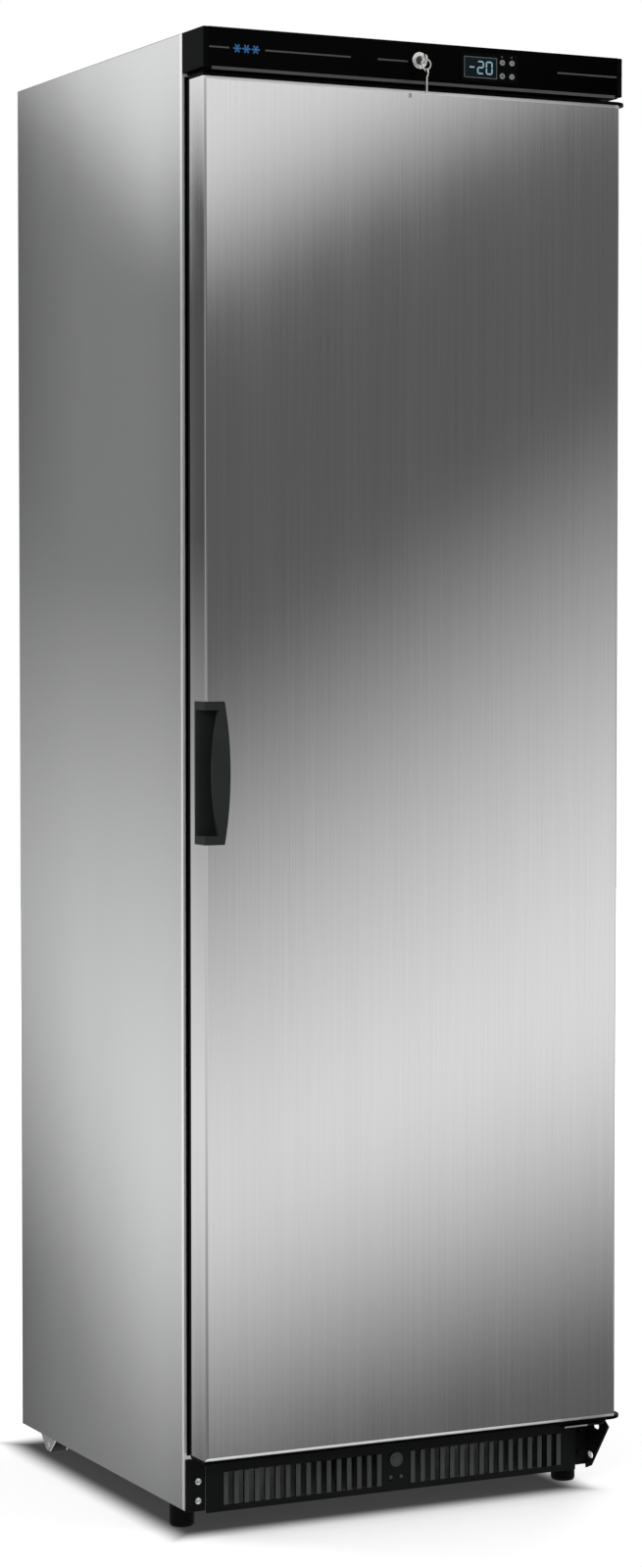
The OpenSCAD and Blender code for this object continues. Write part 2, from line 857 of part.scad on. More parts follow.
// Hollow black moulding over the door, open at the back
module fascia_housing() {
    wall_front = fascia_front + panel_t;
    color(black) placed() difference() {
        union() {
            block([-housing_x, wall_front, fascia_z],
                [housing_x, wall_front + fascia_wall, cab_h]);
            block([-housing_x, wall_front, fascia_z],
                [housing_x, 0, fascia_z + fascia_wall]);
            block([-housing_x, wall_front, cab_h - fascia_wall],
                [housing_x, 0, cab_h]);
            block([-housing_x, fascia_front, fascia_z],
                [housing_x, wall_front, fascia_z + lip_h]);
        }
        translate([pivot_x, pivot_y, fascia_z - over])
            cylinder(h = fascia_wall + 2 * over, d = pin_d + 4, $fn = 64);
        cam_slot(fascia_z, fascia_wall, 0);
        bar_y(0, lock_z, fascia_front, wall_front + fascia_wall + over,
            lock_body_d + 2 * air);
        ctrl_hole();
    }
}

// Notch for the turning cam in a flat wall, open at the wall's back edge
module cam_slot(z, t, back) {
    reach = lock_z - z - t;
    side = sqrt(pow(cam_reach, 2) - pow(reach, 2)) + cam_w / 2 + 2;
    block([-cam_w / 2 - 3, cam_y - 2.5, z - over],
        [side, back + over, z + t + over]);
}

// Opening for the controller's body through the front of the fascia
module ctrl_hole() {
    block([ctrl_x - ctrl_w / 2 + 2 - air, fascia_front - over,
        ctrl_z - ctrl_h / 2 + 2 - air],
        [ctrl_x + ctrl_w / 2 - 2 + air, fascia_front + 8,
        ctrl_z + ctrl_h / 2 - 2 + air]);
}

module fascia_end_caps() {
    color(black) placed() for (s = [0, 1]) mirror([s, 0, 0])
        difference() {
            block([housing_x, fascia_front, fascia_z + lip_drop],
                [half_w, 0, cab_h]);
            translate([housing_x - over, fascia_front - over, cab_h])
                rotate([0, 90, 0]) cylinder(h = end_cap_t + 2 * over, d = 4,
                    $fn = 4);
        }
}

module fascia_panel() {
    color(black) placed() difference() {
        block([-housing_x, fascia_front, fascia_z + lip_h],
            [housing_x, fascia_front + panel_t, cab_h]);
        bar_y(0, lock_z, fascia_front - over, fascia_front + panel_t + over,
            lock_body_d + 2 * air);
        ctrl_hole();
    }
}

function btn_place(i) = [btn_x + (i % 2 == 0 ? -1 : 1) * btn_pitch_x / 2,
    ctrl_z - 0.5 + (i < 2 ? 1 : -1) * btn_pitch_z / 2];

module controller() {
    color(black) placed() difference() {
        union() {
            block([ctrl_x - ctrl_w / 2, ctrl_front, ctrl_z - ctrl_h / 2],
                [ctrl_x + ctrl_w / 2, fascia_front, ctrl_z + ctrl_h / 2]);
            block([ctrl_x - ctrl_w / 2 + 2, fascia_front,
                ctrl_z - ctrl_h / 2 + 2],
                [ctrl_x + ctrl_w / 2 - 2, fascia_front + ctrl_d,
                ctrl_z + ctrl_h / 2 - 2]);
        }
        block([disp_x - disp_w / 2, ctrl_front - over,
            ctrl_z - disp_h / 2],
            [disp_x + disp_w / 2, ctrl_front + 0.8, ctrl_z + disp_h / 2]);
        for (i = [0 : 3])
            bar_y(btn_place(i)[0], btn_place(i)[1], ctrl_front - over,
                btn_back + btn_travel + 0.1, btn_d + 2 * btn_play);
    }
}

module display_window() {
    color([0.02, 0.04, 0.09]) placed()
        block([disp_x - disp_w / 2 + 0.1, ctrl_front + 0.1,
            ctrl_z - disp_h / 2 + 0.1],
            [disp_x + disp_w / 2 - 0.1, ctrl_front + 0.8,
            ctrl_z + disp_h / 2 - 0.1]);
}

module button(i) {
    color([0.3, 0.3, 0.32]) placed()
        bar_y(btn_place(i)[0], btn_place(i)[1], ctrl_front - btn_proud,
            btn_back, btn_d);
}

module button_1() { button(0); }
module button_2() { button(1); }
module button_3() { button(2); }
module button_4() { button(3); }

module lock_barrel() {
    nut_y = fascia_front + panel_t + fascia_wall;
    color(zinc) placed() {
        difference() {
            union() {
                bar_y(0, lock_z, lock_front, fascia_front, lock_ring_d);
                bar_y(0, lock_z, fascia_front - 0.5, lock_end,
                    lock_body_d);
            }
            bar_y(0, lock_z, lock_front - over, lock_end + over,
                plug_d + 2 * run_play);
        }
        difference() {
            bar_y(0, lock_z, nut_y, nut_y + 4, lock_body_d + 8);
            bar_y(0, lock_z, nut_y - over, nut_y + 5,
                lock_body_d + 0.1);
        }
    }
}

// Turning plug with its keyway and the cam behind it
module lock_plug() {
    color(steel) placed() difference() {
        union() {
            bar_y(0, lock_z, lock_front + 0.2, cam_y + 1, plug_d);
            bar_y(0, lock_z, cam_y, cam_y + cam_t, cam_w);
            block([0, cam_y, lock_z - cam_w / 2],
                [cam_reach - 2, cam_y + cam_t, lock_z + cam_w / 2]);
            block([cam_reach - 3, cam_y, lock_z - cam_w / 2 + 2],
                [cam_reach, cam_y + cam_t, lock_z + cam_w / 2 - 2]);
        }
        block([-key_t / 2 - 0.2, lock_front - over,
            lock_z - blade_h / 2 - 0.2],
            [key_t / 2 + 0.2, key_tip + 1, lock_z + blade_h / 2 + 0.2]);
    }
}

// A flat key with its tip towards +y, the front of its bow at y = 0
module flat_key() {
    difference() {
        union() {
            translate([-key_t / 2, bow_r, 0]) rotate([0, 90, 0])
                cylinder(h = key_t, d = bow_d, $fn = 64);
            difference() {
                block([-key_t / 2, bow_r, -blade_h / 2],
                    [key_t / 2, key_len, blade_h / 2]);
                for (i = [0 : 3])
                    block([-key_t, key_len - 11 + i * 2.6, blade_h / 2 - 1
                        - (i % 2) * 0.5], [key_t, key_len - 9.7 + i * 2.6,
                        blade_h]);
            }
        }
        translate([-key_t, hole_in, 0]) rotate([0, 90, 0])
            cylinder(h = 2 * key_t, d = bow_hole_d, $fn = 48);
    }
}

module key() {
    color(steel) placed() translate([0, key_front, lock_z]) flat_key();
}

module key_ring() {
    color(steel) placed() translate([0, hole_y, ring_z])
        rotate([90, 0, 0]) rotate_extrude($fn = 64)
            translate([ring_d / 2, 0]) circle(d = ring_wire, $fn = 24);
}

module spare_key() {
    color(steel) placed() translate([0, hole_y, spare_top])
        rotate([-90, 0, 0]) flat_key();
}

// Folded steel front of the door, open at the back and at both ends
module door_solid(inset) {
    f = door_front + inset;
    b = door_bevel;
    k = inset * 0.4142;
    intersection() {
        round_slab(-door_x + inset, door_x - inset, f, door_back + 10,
            door_z, door_top, max(door_fold_r - inset, 1));
        side_shape([[f, door_z + b + k], [f + b - k, door_z],
            [door_back, door_z], [door_back, door_top],
            [f + b - k, door_top], [f, door_top - b - k]],
            -half_w, half_w);
    }
}

module handle_cut(extra) {
    block([-door_x - 10, door_front - 10, handle_lo + rim_edge - extra],
        [cut_right + extra, door_front + handle_d - 2 + extra,
        handle_hi - rim_edge + extra]);
}

module door_skin() {
    color(steel) placed() difference() {
        door_solid(0);
        difference() {
            door_solid(skin_t);
            block([-half_w, door_back - skin_t, 0],
                [-door_x + hem_w, 0, cab_h]);
            block([door_x - hem_w, door_back - skin_t, 0],
                [half_w, 0, cab_h]);
        }
        block([-door_x + hem_w, door_back - 2 * skin_t, 0],
            [door_x - hem_w, 0, cab_h]);
        handle_cut(air);
    }
}

// Groove ring behind the gasket, as wide and deep as asked
module barb_ring(w, y0, y1) {
    mid = gasket_w / 2;
    difference() {
        block([-gasket_x + mid - w / 2, y0, gasket_z + mid - w / 2],
            [gasket_x - mid + w / 2, y1, gasket_top - mid + w / 2]);
        block([-gasket_x + mid + w / 2, y0 - over,
            gasket_z + mid + w / 2],
            [gasket_x - mid - w / 2, y1 + over, gasket_top - mid - w / 2]);
    }
}

module door_foam() {
    color(foam_tone) placed() difference() {
        union() {
            intersection() {
                door_solid(skin_t);
                block([-half_w, door_front, door_z],
                    [half_w, liner_y - liner_t, door_top]);
            }
            block([-plug_x + liner_t, liner_y - liner_t - over,
                plug_z + liner_t],
                [plug_x - liner_t, plug_in - liner_t, plug_top - liner_t]);
        }
        barb_ring(barb_t + 2 * liner_t + groove_play,
            door_back - barb_d - groove_play - liner_t, 0);
        for (z = [door_z - over, door_top - bush_len - 2])
            translate([pivot_x, pivot_y, z])
                cylinder(h = bush_len + 2 + over, d = boss_d + 2 * air,
                    $fn = 64);
        cam_pocket();
        block([-door_x - 10, door_front + skin_t / 2,
            handle_lo + rim_edge - air],
            [handle_right - 1.5 + air, door_front + handle_d - 2 + air,
            handle_hi - rim_edge + air]);
        handle_cut(air);
    }
}

// Room for the cam's tip in the top of the door
module cam_pocket() {
    block([-cam_w / 2 - 3, cam_y - 2.5, door_top - strike_d],
        [cam_reach, cam_y + cam_t + 2.5, door_top + over]);
}

// Plastic back of the door: a plate with a groove for the gasket and a
// raised panel that reaches into the cabinet
module door_liner() {
    side = door_x - skin_t - 0.1;
    color(white) placed() difference() {
        union() {
            block([-side, liner_y - liner_t, door_z],
                [side, liner_y, door_top]);
            block([-door_x + hem_w + air, liner_y - liner_t, door_z],
                [door_x - hem_w - air, door_back, door_top]);
            barb_ring(barb_t + 2 * liner_t + groove_play,
                door_back - barb_d - groove_play - liner_t, liner_y);
            block([-plug_x, liner_y - liner_t, plug_z],
                [plug_x, plug_in, plug_top]);
        }
        barb_ring(barb_t + groove_play, door_back - barb_d - groove_play,
            over);
        block([-plug_x + liner_t, liner_y - liner_t - over,
            plug_z + liner_t],
            [plug_x - liner_t, plug_in - liner_t, plug_top - liner_t]);
    }
}

// Outline of a door cap behind the slanted fold, with its round end over
// the hinge
module cap_plate(z0, z1) {
    r = door_fold_r;
    block([-door_x + r, cap_front, z0], [cap_end_x, door_back, z1]);
    block([-door_x, cap_front, z0], [cap_end_x, door_back - r, z1]);
    translate([-door_x + r, door_back - r, z0])
        cylinder(h = z1 - z0, r = r, $fn = 48);
    translate([cap_end_x, cap_front + cap_r, z0])
        cylinder(h = z1 - z0, r = cap_r, $fn = 96);
}

module door_top_cap() {
    color(black) placed() difference() {
        union() {
            cap_plate(door_top, door_top + cap_t);
            translate([pivot_x, pivot_y, door_top - bush_len])
                cylinder(h = bush_len + over, d = boss_d, $fn = 64);
        }
        translate([pivot_x, pivot_y, door_top + cap_t - bush_len - 1])
            cylinder(h = bush_len + 2, d = bush_d + 2 * run_play,
                $fn = 64);
        cam_slot(door_top, cap_t, door_back);
    }
}

module door_bottom_cap() {
    color(black) placed() difference() {
        union() {
            cap_plate(door_z - cap_t, door_z);
            translate([pivot_x, pivot_y, door_z - over])
                cylinder(h = bush_len + over, d = boss_d, $fn = 64);
        }
        translate([pivot_x, pivot_y, door_z - cap_t - over])
            cylinder(h = bush_len + 2, d = bush_d + 2 * run_play,
                $fn = 64);
    }
}

// One bush: its flange lies outside the cap, its closed end inside
module bush() {
    difference() {
        union() {
            cylinder(h = bush_len, d = bush_d, $fn = 64);
            translate([0, 0, -flange_t]) cylinder(h = flange_t,
                d = bush_flange_d, $fn = 64);
        }
        translate([0, 0, -flange_t - over])
            cylinder(h = flange_t + over + pin_len + 0.5,
                d = pin_d + 2 * run_play, $fn = 64);
    }
}

module hinge_bushes() {
    color(white) placed() {
        translate([pivot_x, pivot_y, door_z - cap_t]) bush();
        translate([pivot_x, pivot_y, door_top + cap_t])
            mirror([0, 0, 1]) bush();
    }
}

// A rectangular ring around the door opening
module gasket_ring(inset, w, y0, y1) {
    difference() {
        block([-gasket_x + inset, y0, gasket_z + inset],
            [gasket_x - inset, y1, gasket_top - inset]);
        block([-gasket_x + inset + w, y0 - over, gasket_z + inset + w],
            [gasket_x - inset - w, y1 + over, gasket_top - inset - w]);
    }
}

// Magnetic gasket: barb, foot, bellows neck and magnet strip
module door_gasket() {
    color([0.12, 0.12, 0.13]) placed() {
        gasket_ring(0, gasket_w, door_back, door_back + 3.5);
        gasket_ring(gasket_w * 0.25, gasket_w * 0.5, door_back + 3,
            -gasket_play - 4);
        gasket_ring(gasket_w * 0.05, gasket_w * 0.9, -gasket_play - 4.5,
            -gasket_play);
        barb_ring(barb_t, door_back - barb_d, door_back + over);
    }
}

// Recessed pull moulding around the edge of the door
module door_handle() {
    mid = (pocket_lo + pocket_hi) / 2;
    color(black) placed() difference() {
        union() {
            intersection() {
                block([handle_left, handle_front, handle_lo],
                    [handle_right + over, door_front, handle_hi]);
                bar_y(handle_right - handle_r, handle_z, handle_front - 2,
                    door_front + 2, 2 * handle_r);
            }
            block([handle_left, handle_front, handle_lo],
                [-door_x, door_front + handle_d, handle_hi]);
            block([-door_x - 1, door_front - 1, handle_lo + rim_edge],
                [cut_right, door_front + handle_d - 2,
                handle_hi - rim_edge]);
            block([cut_right - 2, door_front + skin_t + air,
                handle_lo + rim_edge], [handle_right - 1.5,
                door_front + handle_d - 2, handle_hi - rim_edge]);
        }
        block([handle_left - over, pocket_front, pocket_lo],
            [pocket_right, pocket_back, pocket_hi]);
        difference() {
            block([handle_left - over, handle_front - over, pocket_lo],
                [grip_left + 2 * grip_bow, pocket_front + 0.01,
                pocket_hi]);
            bar_y(grip_left + grip_r, mid, handle_front - 2,
                pocket_front + 2, 2 * grip_r);
        }
    }
}

module foot(x) {
    color(black) placed() translate([x, foot_y, 0]) {
        cylinder(h = 3, d1 = foot_d - 3, d2 = foot_d, $fn = 64);
        translate([0, 0, 3]) cylinder(h = base_z - 3 - air, d = foot_d,
            $fn = 64);
        translate([0, 0, base_z - 2]) cylinder(h = stud_top - base_z + 2,
            d = stud_d, $fn = 64);
    }
}

module left_foot() { foot(-foot_x); }
module right_foot() { foot(foot_x); }

module roller(x) {
    color([0.15, 0.15, 0.16]) placed()
        translate([x - roller_w / 2, roller_y, roller_z])
            rotate([0, 90, 0]) difference() {
                cylinder(h = roller_w, d = roller_d, $fn = 96);
                translate([0, 0, -over]) cylinder(h = roller_w + 2 * over,
                    d = axle_d + 2 * run_play, $fn = 64);
            }
}

module left_roller() { roller(-roller_x); }
module right_roller() { roller(roller_x); }

// Two V shaped cheeks under a plate, with the riveted axle
module roller_bracket(x) {
    inner = roller_w / 2 + cheek_gap;
    for (s = [-1, 1]) {
        a = x + s * inner;
        b = x + s * (inner + cheek_t);
        side_shape([[roller_y - cheek_reach, base_z],
            [roller_y - cheek_reach, base_z - 3],
            [roller_y - axle_d, cheek_low], [roller_y + axle_d, cheek_low],
            [roller_y + cheek_reach, base_z - 3],
            [roller_y + cheek_reach, base_z]], min(a, b), max(a, b));
    }
    block([x - inner - cheek_t, roller_y - cheek_reach, base_z - cheek_t],
        [x + inner + cheek_t, roller_y + cheek_reach, base_z]);
    rod([x - inner - cheek_t - rivet_t, roller_y, roller_z],
        [x + inner + cheek_t + rivet_t, roller_y, roller_z], axle_d);
    for (s = [-1, 1])
        rod([x + s * (inner - cheek_gap + hang_play), roller_y, roller_z],
            [x + s * (inner + cheek_t / 2), roller_y, roller_z],
            axle_d + 5);
}

module roller_brackets() {
    color(zinc) placed() {
        roller_bracket(-roller_x);
        roller_bracket(roller_x);
    }
}

// Wire shelf: a frame, a middle rod and thin wires from front to back
module shelf(i) {
    z = shelf_z + i * shelf_pitch;
    low = shelf_rod_z + i * shelf_pitch;
    wire_over = 3;
    pitch = 2 * shelf_x / (wire_count + 1);
    color(white) placed() {
        for (y = [shelf_front, (shelf_front + shelf_end) / 2, shelf_end])
            rod([-shelf_x, y, low], [shelf_x, y, low], frame_wire);
        for (x = [-shelf_x, shelf_x])
            rod([x, shelf_front - 1, low], [x, shelf_end + 1, low],
                side_wire);
        for (k = [1 : wire_count])
            rod([-shelf_x + k * pitch, shelf_front - wire_over, z],
                [-shelf_x + k * pitch, shelf_end + wire_over, z],
                thin_wire);
    }
}

module shelf_1() { shelf(0); }
module shelf_2() { shelf(1); }
module shelf_3() { shelf(2); }
module shelf_4() { shelf(3); }

// Four slotted uprights on the side walls, with the shelf clips
module shelf_uprights() {
    bottom = step_z + 15;
    top = cover_z - 20;
    slot_pitch = 60;
    slot = [2, 8, 8];
    color(white) placed() for (s = [0, 1], y = upright_ys)
        mirror([s, 0, 0]) {
            difference() {
                block([upright_x, y - upright_w / 2, bottom],
                    [cav_x, y + upright_w / 2, top]);
                for (z = [bottom + 20 : slot_pitch : top - 20])
                    block([upright_x - over, y - slot[1] / 2, z],
                        [upright_x + slot[0], y + slot[1] / 2, z + slot[2]]);
            }
            for (i = [0 : 3])
                translate([0, 0, clip_top + i * shelf_pitch])
                    block([upright_x - clip_reach, y - clip_w / 2, -clip_h],
                        [upright_x, y + clip_w / 2, 0]);
        }
}

// Straight tubes of a coil, in rows over each other
module tube_rows(x0, x1, ys, z0, rows, pitch) {
    for (y = ys, r = [0 : rows - 1])
        rod([x0, y, z0 + r * pitch], [x1, y, z0 + r * pitch], tube_d);
}

// Joins the two columns of tubes at one end
module cross_bend(x, ys, z, side) {
    translate([x, (ys[0] + ys[1]) / 2, z])
        rotate([0, 0, side > 0 ? -90 : 90])
            rotate_extrude(angle = 180, $fn = 48)
                translate([(ys[1] - ys[0]) / 2, 0])
                    circle(d = tube_d, $fn = 24);
}

// Joins two tubes that lie over each other
module return_bend(x, y, z, pitch, side) {
    translate([x, y, z + pitch / 2]) rotate([90, 0, 0])
        rotate([0, 0, side > 0 ? -90 : 90])
            rotate_extrude(angle = 180, $fn = 48)
                translate([pitch / 2, 0]) circle(d = tube_d, $fn = 24);
}

module evaporator() {
    pitch = 2 * coil_x / (fin_count - 1);
    end_t = 1.2;
    end_x = coil_x + bend_x;
    color([0.78, 0.79, 0.8]) placed() {
        tube_rows(-end_x, end_x, coil_y, coil_z, coil_rows - 1, coil_pitch);
        tube_rows(-end_x, coil_x + coil_end, coil_y, line_z, 1, coil_pitch);
        cross_bend(end_x, coil_y, coil_z, 1);
        for (y = coil_y) {
            for (r = [0 : 2 : coil_rows - 2])
                return_bend(-end_x, y, coil_z + r * coil_pitch, coil_pitch,
                    -1);
            return_bend(end_x, y, coil_z + coil_pitch, coil_pitch, 1);
        }
        for (i = [0 : fin_count - 1])
            block([-coil_x - fin_t / 2 + i * pitch, coil_y[0] - fin_over,
                coil_z - fin_low], [-coil_x + fin_t / 2 + i * pitch,
                coil_y[1] + fin_over, line_z + fin_high]);
        for (x = [-coil_x - end_t - air, coil_x + air])
            block([x, coil_y[0] - fin_over - 2, coil_z - fin_low - 2],
                [x + end_t, cav_y, line_z + fin_high + 2]);
    }
}

module evaporator_cover() {
    guard_r = evap_fan_d / 2 + guard_gap;
    ribs = floor(guard_r / guard_pitch);
    slots = floor((2 * cover_x - 4 * air_slot_w) / air_slot_pitch);
    color(white) placed() difference() {
        union() {
            difference() {
                block([-cover_x, cover_y, cover_z],
                    [cover_x, cav_y, cav_top]);
                block([-cover_x + cover_t, cover_y + cover_t,
                    cover_z + cover_t],
                    [cover_x - cover_t, cav_y + over, cav_top + over]);
                bar_y(0, evap_fan_z, cover_y - over,
                    cover_y + cover_t + over, 2 * guard_r);
            }
            for (i = [0 : ribs - 1]) difference() {
                r = guard_r - guard_rib * 2 - i * guard_pitch;
                bar_y(0, evap_fan_z, cover_y, cover_y + cover_t,
                    2 * r + guard_rib);
                if (i < ribs - 1) bar_y(0, evap_fan_z, cover_y - over,
                    cover_y + cover_t + over, 2 * r - guard_rib);
            }
            for (a = [0, 60, 120]) translate([0, cover_y + cover_t / 2,
                evap_fan_z]) rotate([0, a, 0])
                cube([2 * guard_r + 2, cover_t, guard_rib + 1],
                    center = true);
        }
        for (i = [0 : slots - 1])
            translate([(i - (slots - 1) / 2) * air_slot_pitch, 0, 0])
                block([-air_slot_w / 2, air_slot_y, cover_z - over],
                    [air_slot_w / 2, air_slot_y + air_slot_d,
                    cover_z + cover_t + over]);
    }
}

// Five pitched blades on a hub, turning about y
module fan(x, y, z, d, hub_d, depth, bore) {
    placed() translate([x, y, z]) rotate([-90, 0, 0]) difference() {
        union() {
            cylinder(h = depth, d = hub_d, $fn = 64);
            intersection() {
                for (a = [0 : 72 : 288]) rotate([0, 0, a])
                    translate([0, 0, depth / 2]) rotate([38, 0, 0])
                        translate([hub_d / 2 - 3, -d * 0.13, -0.9])
                            cube([d / 2, d * 0.26, 1.8]);
                cylinder(h = depth, d = d, $fn = 96);
            }
        }
        translate([0, 0, -over]) cylinder(h = depth + 2 * over,
            d = bore + 2 * run_play, $fn = 48);
    }
}

module evaporator_fan() {
    color([0.2, 0.2, 0.22])
        fan(0, cover_y + 6, evap_fan_z, evap_fan_d, 36, 20, 6);
}

// Motor on a strap with four stand-offs behind the fan opening
module motor(x, y, z, span, plate_y, body_d, body_l, shaft) {
    for (sx = [-1, 1], sz = [-1, 1])
        bar_y(x + sx * span, z + sz * 16, plate_y, y + 1, 7);
    block([x - span - 6, y, z - 20], [x + span + 6, y + 2.5, z + 20]);
    bar_y(x, z, y + 2, y + 2.5 + body_l, body_d);
    bar_y(x, z, plate_y + 7, y + 3, shaft);
}

module evaporator_fan_motor() {
    color([0.35, 0.36, 0.38]) placed()
        motor(0, cover_y + 30, evap_fan_z, evap_fan_d / 2 + 14,
            cover_y + cover_t, 50, 42, 6);
}

module condenser_fan() {
    color([0.2, 0.2, 0.22])
        fan(cond_x, cond_fan_y, cond_z, cond_fan_d, 44, 24, 8);
}

module condenser_fan_motor() {
    color([0.35, 0.36, 0.38]) placed()
        motor(cond_x, cond_fan_y + 28, cond_z, cond_fan_d / 2 + 8,
            shroud_y + shroud_t, 62, 50, 8);
}

module condenser_shroud() {
    left = cond_x - cond_w / 2;
    high = cond_high_z + 8;
    color(zinc) placed() difference() {
        union() {
            block([left, shroud_y, tray_top],
                [left + cond_w, shroud_y + shroud_t, high]);
            block([left, cond_y - 4, high - shroud_t],
                [left + cond_w, shroud_y + 1, high]);
            block([left, shroud_y, tray_top],
                [left + cond_w, shroud_y + tray_flange,
                tray_top + shroud_t]);
        }
        bar_y(cond_x, cond_z, shroud_y - over, shroud_y + shroud_t + over,
            cond_fan_d + 2 * shroud_play);
    }
}

module condenser() {
    x0 = cond_x - cond_w / 2 + cond_plate_in;
    x1 = cond_x + cond_w / 2 - cond_plate_in;
    pitch = (x1 - x0) / (cond_fins - 1);
    bend = 6;
    end_t = 1.4;
    color([0.3, 0.31, 0.32]) placed() {
        tube_rows(x0 - bend, x1 + bend, cond_ys, cond_low_z + cond_pitch,
            cond_rows - 1, cond_pitch);
        tube_rows(x0 - bend, cond_end, cond_ys, cond_low_z, 1, cond_pitch);
        cross_bend(x1 + bend, cond_ys,
            cond_low_z + (cond_rows - 1) * cond_pitch, 1);
        for (y = cond_ys) {
            for (r = [0 : 2 : cond_rows - 2])
                return_bend(x0 - bend, y, cond_low_z + r * cond_pitch,
                    cond_pitch, -1);
            for (r = [1 : 2 : cond_rows - 2])
                return_bend(x1 + bend, y, cond_low_z + r * cond_pitch,
                    cond_pitch, 1);
        }
        for (i = [0 : cond_fins - 1])
            block([x0 + i * pitch - fin_t / 2, cond_y + 2,
                cond_low_z - 12], [x0 + i * pitch + fin_t / 2,
                cond_y + cond_t - 2, cond_high_z + 1]);
        for (x = [x0 - end_t - 1.6, x1 + 1.6])
            block([x, cond_y, tray_top],
                [x + end_t, shroud_y, cond_high_z + 6]);
    }
}

// Welded steel shell on its foot plate, with three pipe stubs
module compressor() {
    r = comp_dia / 2;
    color([0.08, 0.08, 0.085]) placed() difference() {
        union() {
            translate([comp_x, comp_cy, comp_z]) {
                rotate_extrude($fn = 96) union() {
                    translate([0, comp_dome / 2])
                        square([r, comp_shell_h - comp_dome]);
                    square([r - comp_dome, comp_shell_h]);
                    for (z = [comp_dome, comp_shell_h - comp_dome])
                        translate([r - comp_dome, z])
                            circle(r = comp_dome, $fn = 64);
                }
                translate([0, 0, comp_shell_h * 0.56])
                    cylinder(h = comp_seam + 2, r = r + comp_seam,
                        $fn = 96);
            }
            block([comp_x - comp_plate_x, comp_cy - comp_plate_y,
                comp_z - comp_plate_low], [comp_x + comp_plate_x,
                comp_cy + comp_plate_y, comp_z + comp_plate_high]);
            rod([comp_x + r - 3, comp_cy, port_z],
                [comp_x + r + port_len, comp_cy, port_z], suction_d + 2);
            rod([comp_x - r + 3, comp_cy, port_z],
                [comp_x - r - port_len, comp_cy, port_z], port_d);
            block([comp_x - term_w / 2, comp_cy - r - term_out, term_z],
                [comp_x + term_w / 2, comp_cy - r + 8, term_z + term_h]);
        }
        for (x = [-comp_hole_x, comp_hole_x], y = [-comp_hole_y, comp_hole_y])
            translate([comp_x + x, comp_cy + y,
                comp_z - comp_plate_low - over])
                cylinder(h = comp_plate_low + comp_plate_high + 2 * over,
                    d = comp_hole_d, $fn = 48);
    }
}

// Rubber buffers with their bolts under the compressor's foot plate
module compressor_mounts() {
    plate_top = comp_z + comp_plate_high - tray_top;
    color([0.1, 0.1, 0.1]) placed()
        for (x = [-comp_hole_x, comp_hole_x], y = [-comp_hole_y, comp_hole_y])
            translate([comp_x + x, comp_cy + y, tray_top]) {
                cylinder(h = comp_z - comp_plate_low - tray_top,
                    d = buffer_d, $fn = 64);
                cylinder(h = plate_top, d = comp_hole_d - 2 * air, $fn = 64);
                translate([0, 0, plate_top])
                    cylinder(h = buffer_head, d = buffer_d - 4, $fn = 64);
            }
}

module refrigerant_lines() {
    r = comp_dia / 2;
    drier_z = cond_low_z + 40;
    down_x = suction_x + 8;
    high = comp_top - 22;
    color(copper) placed() {
        pipe([[coil_x + coil_end, coil_y[1], line_z],
            [suction_x, coil_y[1], line_z], [suction_x, pipe_y, line_z],
            [suction_x, pipe_y, port_z + 40], [down_x, pipe_y - 30, port_z],
            [down_x, comp_cy, port_z],
            [comp_x + r + port_len, comp_cy, port_z]], suction_d);
        pipe([[comp_x - r - port_len, comp_cy, port_z],
            [loop_x, comp_cy, port_z], [loop_x, comp_cy, cond_low_z],
            [loop_x, cond_ys[1], cond_low_z],
            [cond_end, cond_ys[1], cond_low_z]], line_d);
        pipe([[cond_end, cond_ys[0], cond_low_z],
            [drier_x, cond_ys[0], cond_low_z],
            [drier_x, cond_ys[0], drier_z + 5]], line_d);
        translate([drier_x, cond_ys[0], drier_z])
            cylinder(h = drier_len, d = drier_d, $fn = 48);
        pipe([[drier_x, cond_ys[0], drier_z + drier_len - 5],
            [drier_x, cond_ys[0], high], [capillary_x, cond_ys[0], high],
            [capillary_x, pipe_y, high], [capillary_x, pipe_y, line_z],
            [capillary_x, coil_y[0], line_z],
            [coil_x + coil_end, coil_y[0], line_z]], capillary_d);
    }
}

// Shallow pan that rests on the compressor and catches the drain water
module evaporation_tray() {
    left = comp_x - pan_left;
    right = comp_x + pan_right;
    front = comp_cy - pan_front;
    back = rear_y - pan_back;
    color(black) placed() difference() {
        block([left, front, comp_top_z], [right, back, comp_top_z + pan_h]);
        block([left + pan_t, front + pan_t, comp_top_z + pan_t],
            [right - pan_t, back - pan_t, comp_top_z + pan_h + over]);
    }
}

module drain_pipe() {
    start_y = cav_y - drain_in;
    end_z = comp_top_z + pan_h * 0.65;
    color([0.75, 0.76, 0.76]) placed() difference() {
        pipe([[drain_x, start_y, drain_z], [drain_x, pipe_y, drain_z],
            [drain_x, pipe_y, end_z]], drain_d);
        pipe([[drain_x, start_y - over, drain_z],
            [drain_x, pipe_y, drain_z], [drain_x, pipe_y, end_z - over]],
            drain_d - 2 * drain_t);
    }
}

// Slotted cover over the machine compartment
module rear_grille() {
    x = inner_x - tray_t - 1;
    low = base_z + 4;
    high = comp_top - 1;
    slots = floor((2 * x - 2 * vent_side) / vent_pitch) + 1;
    rows = [low + 30, low + 130];
    color(black) placed() difference() {
        block([-x, vent_y, low], [x, cab_d - skin_t, high]);
        block([-x + vent_rim, vent_y + 2, low + vent_rim],
            [x - vent_rim, cab_d, high - vent_rim]);
        for (i = [0 : slots - 1], z = rows)
            if (-x + vent_side + i * vent_pitch < gland_x - gland_body_d * 1.5
                || z > rows[0])
                translate([-x + vent_side + i * vent_pitch, 0, z])
                    block([0, vent_y - over, 0],
                        [vent_slot_w, cab_d, vent_slot_h]);
        bar_y(gland_x, gland_z, vent_y - over, cab_d,
            gland_body_d + 2 * air);
    }
}

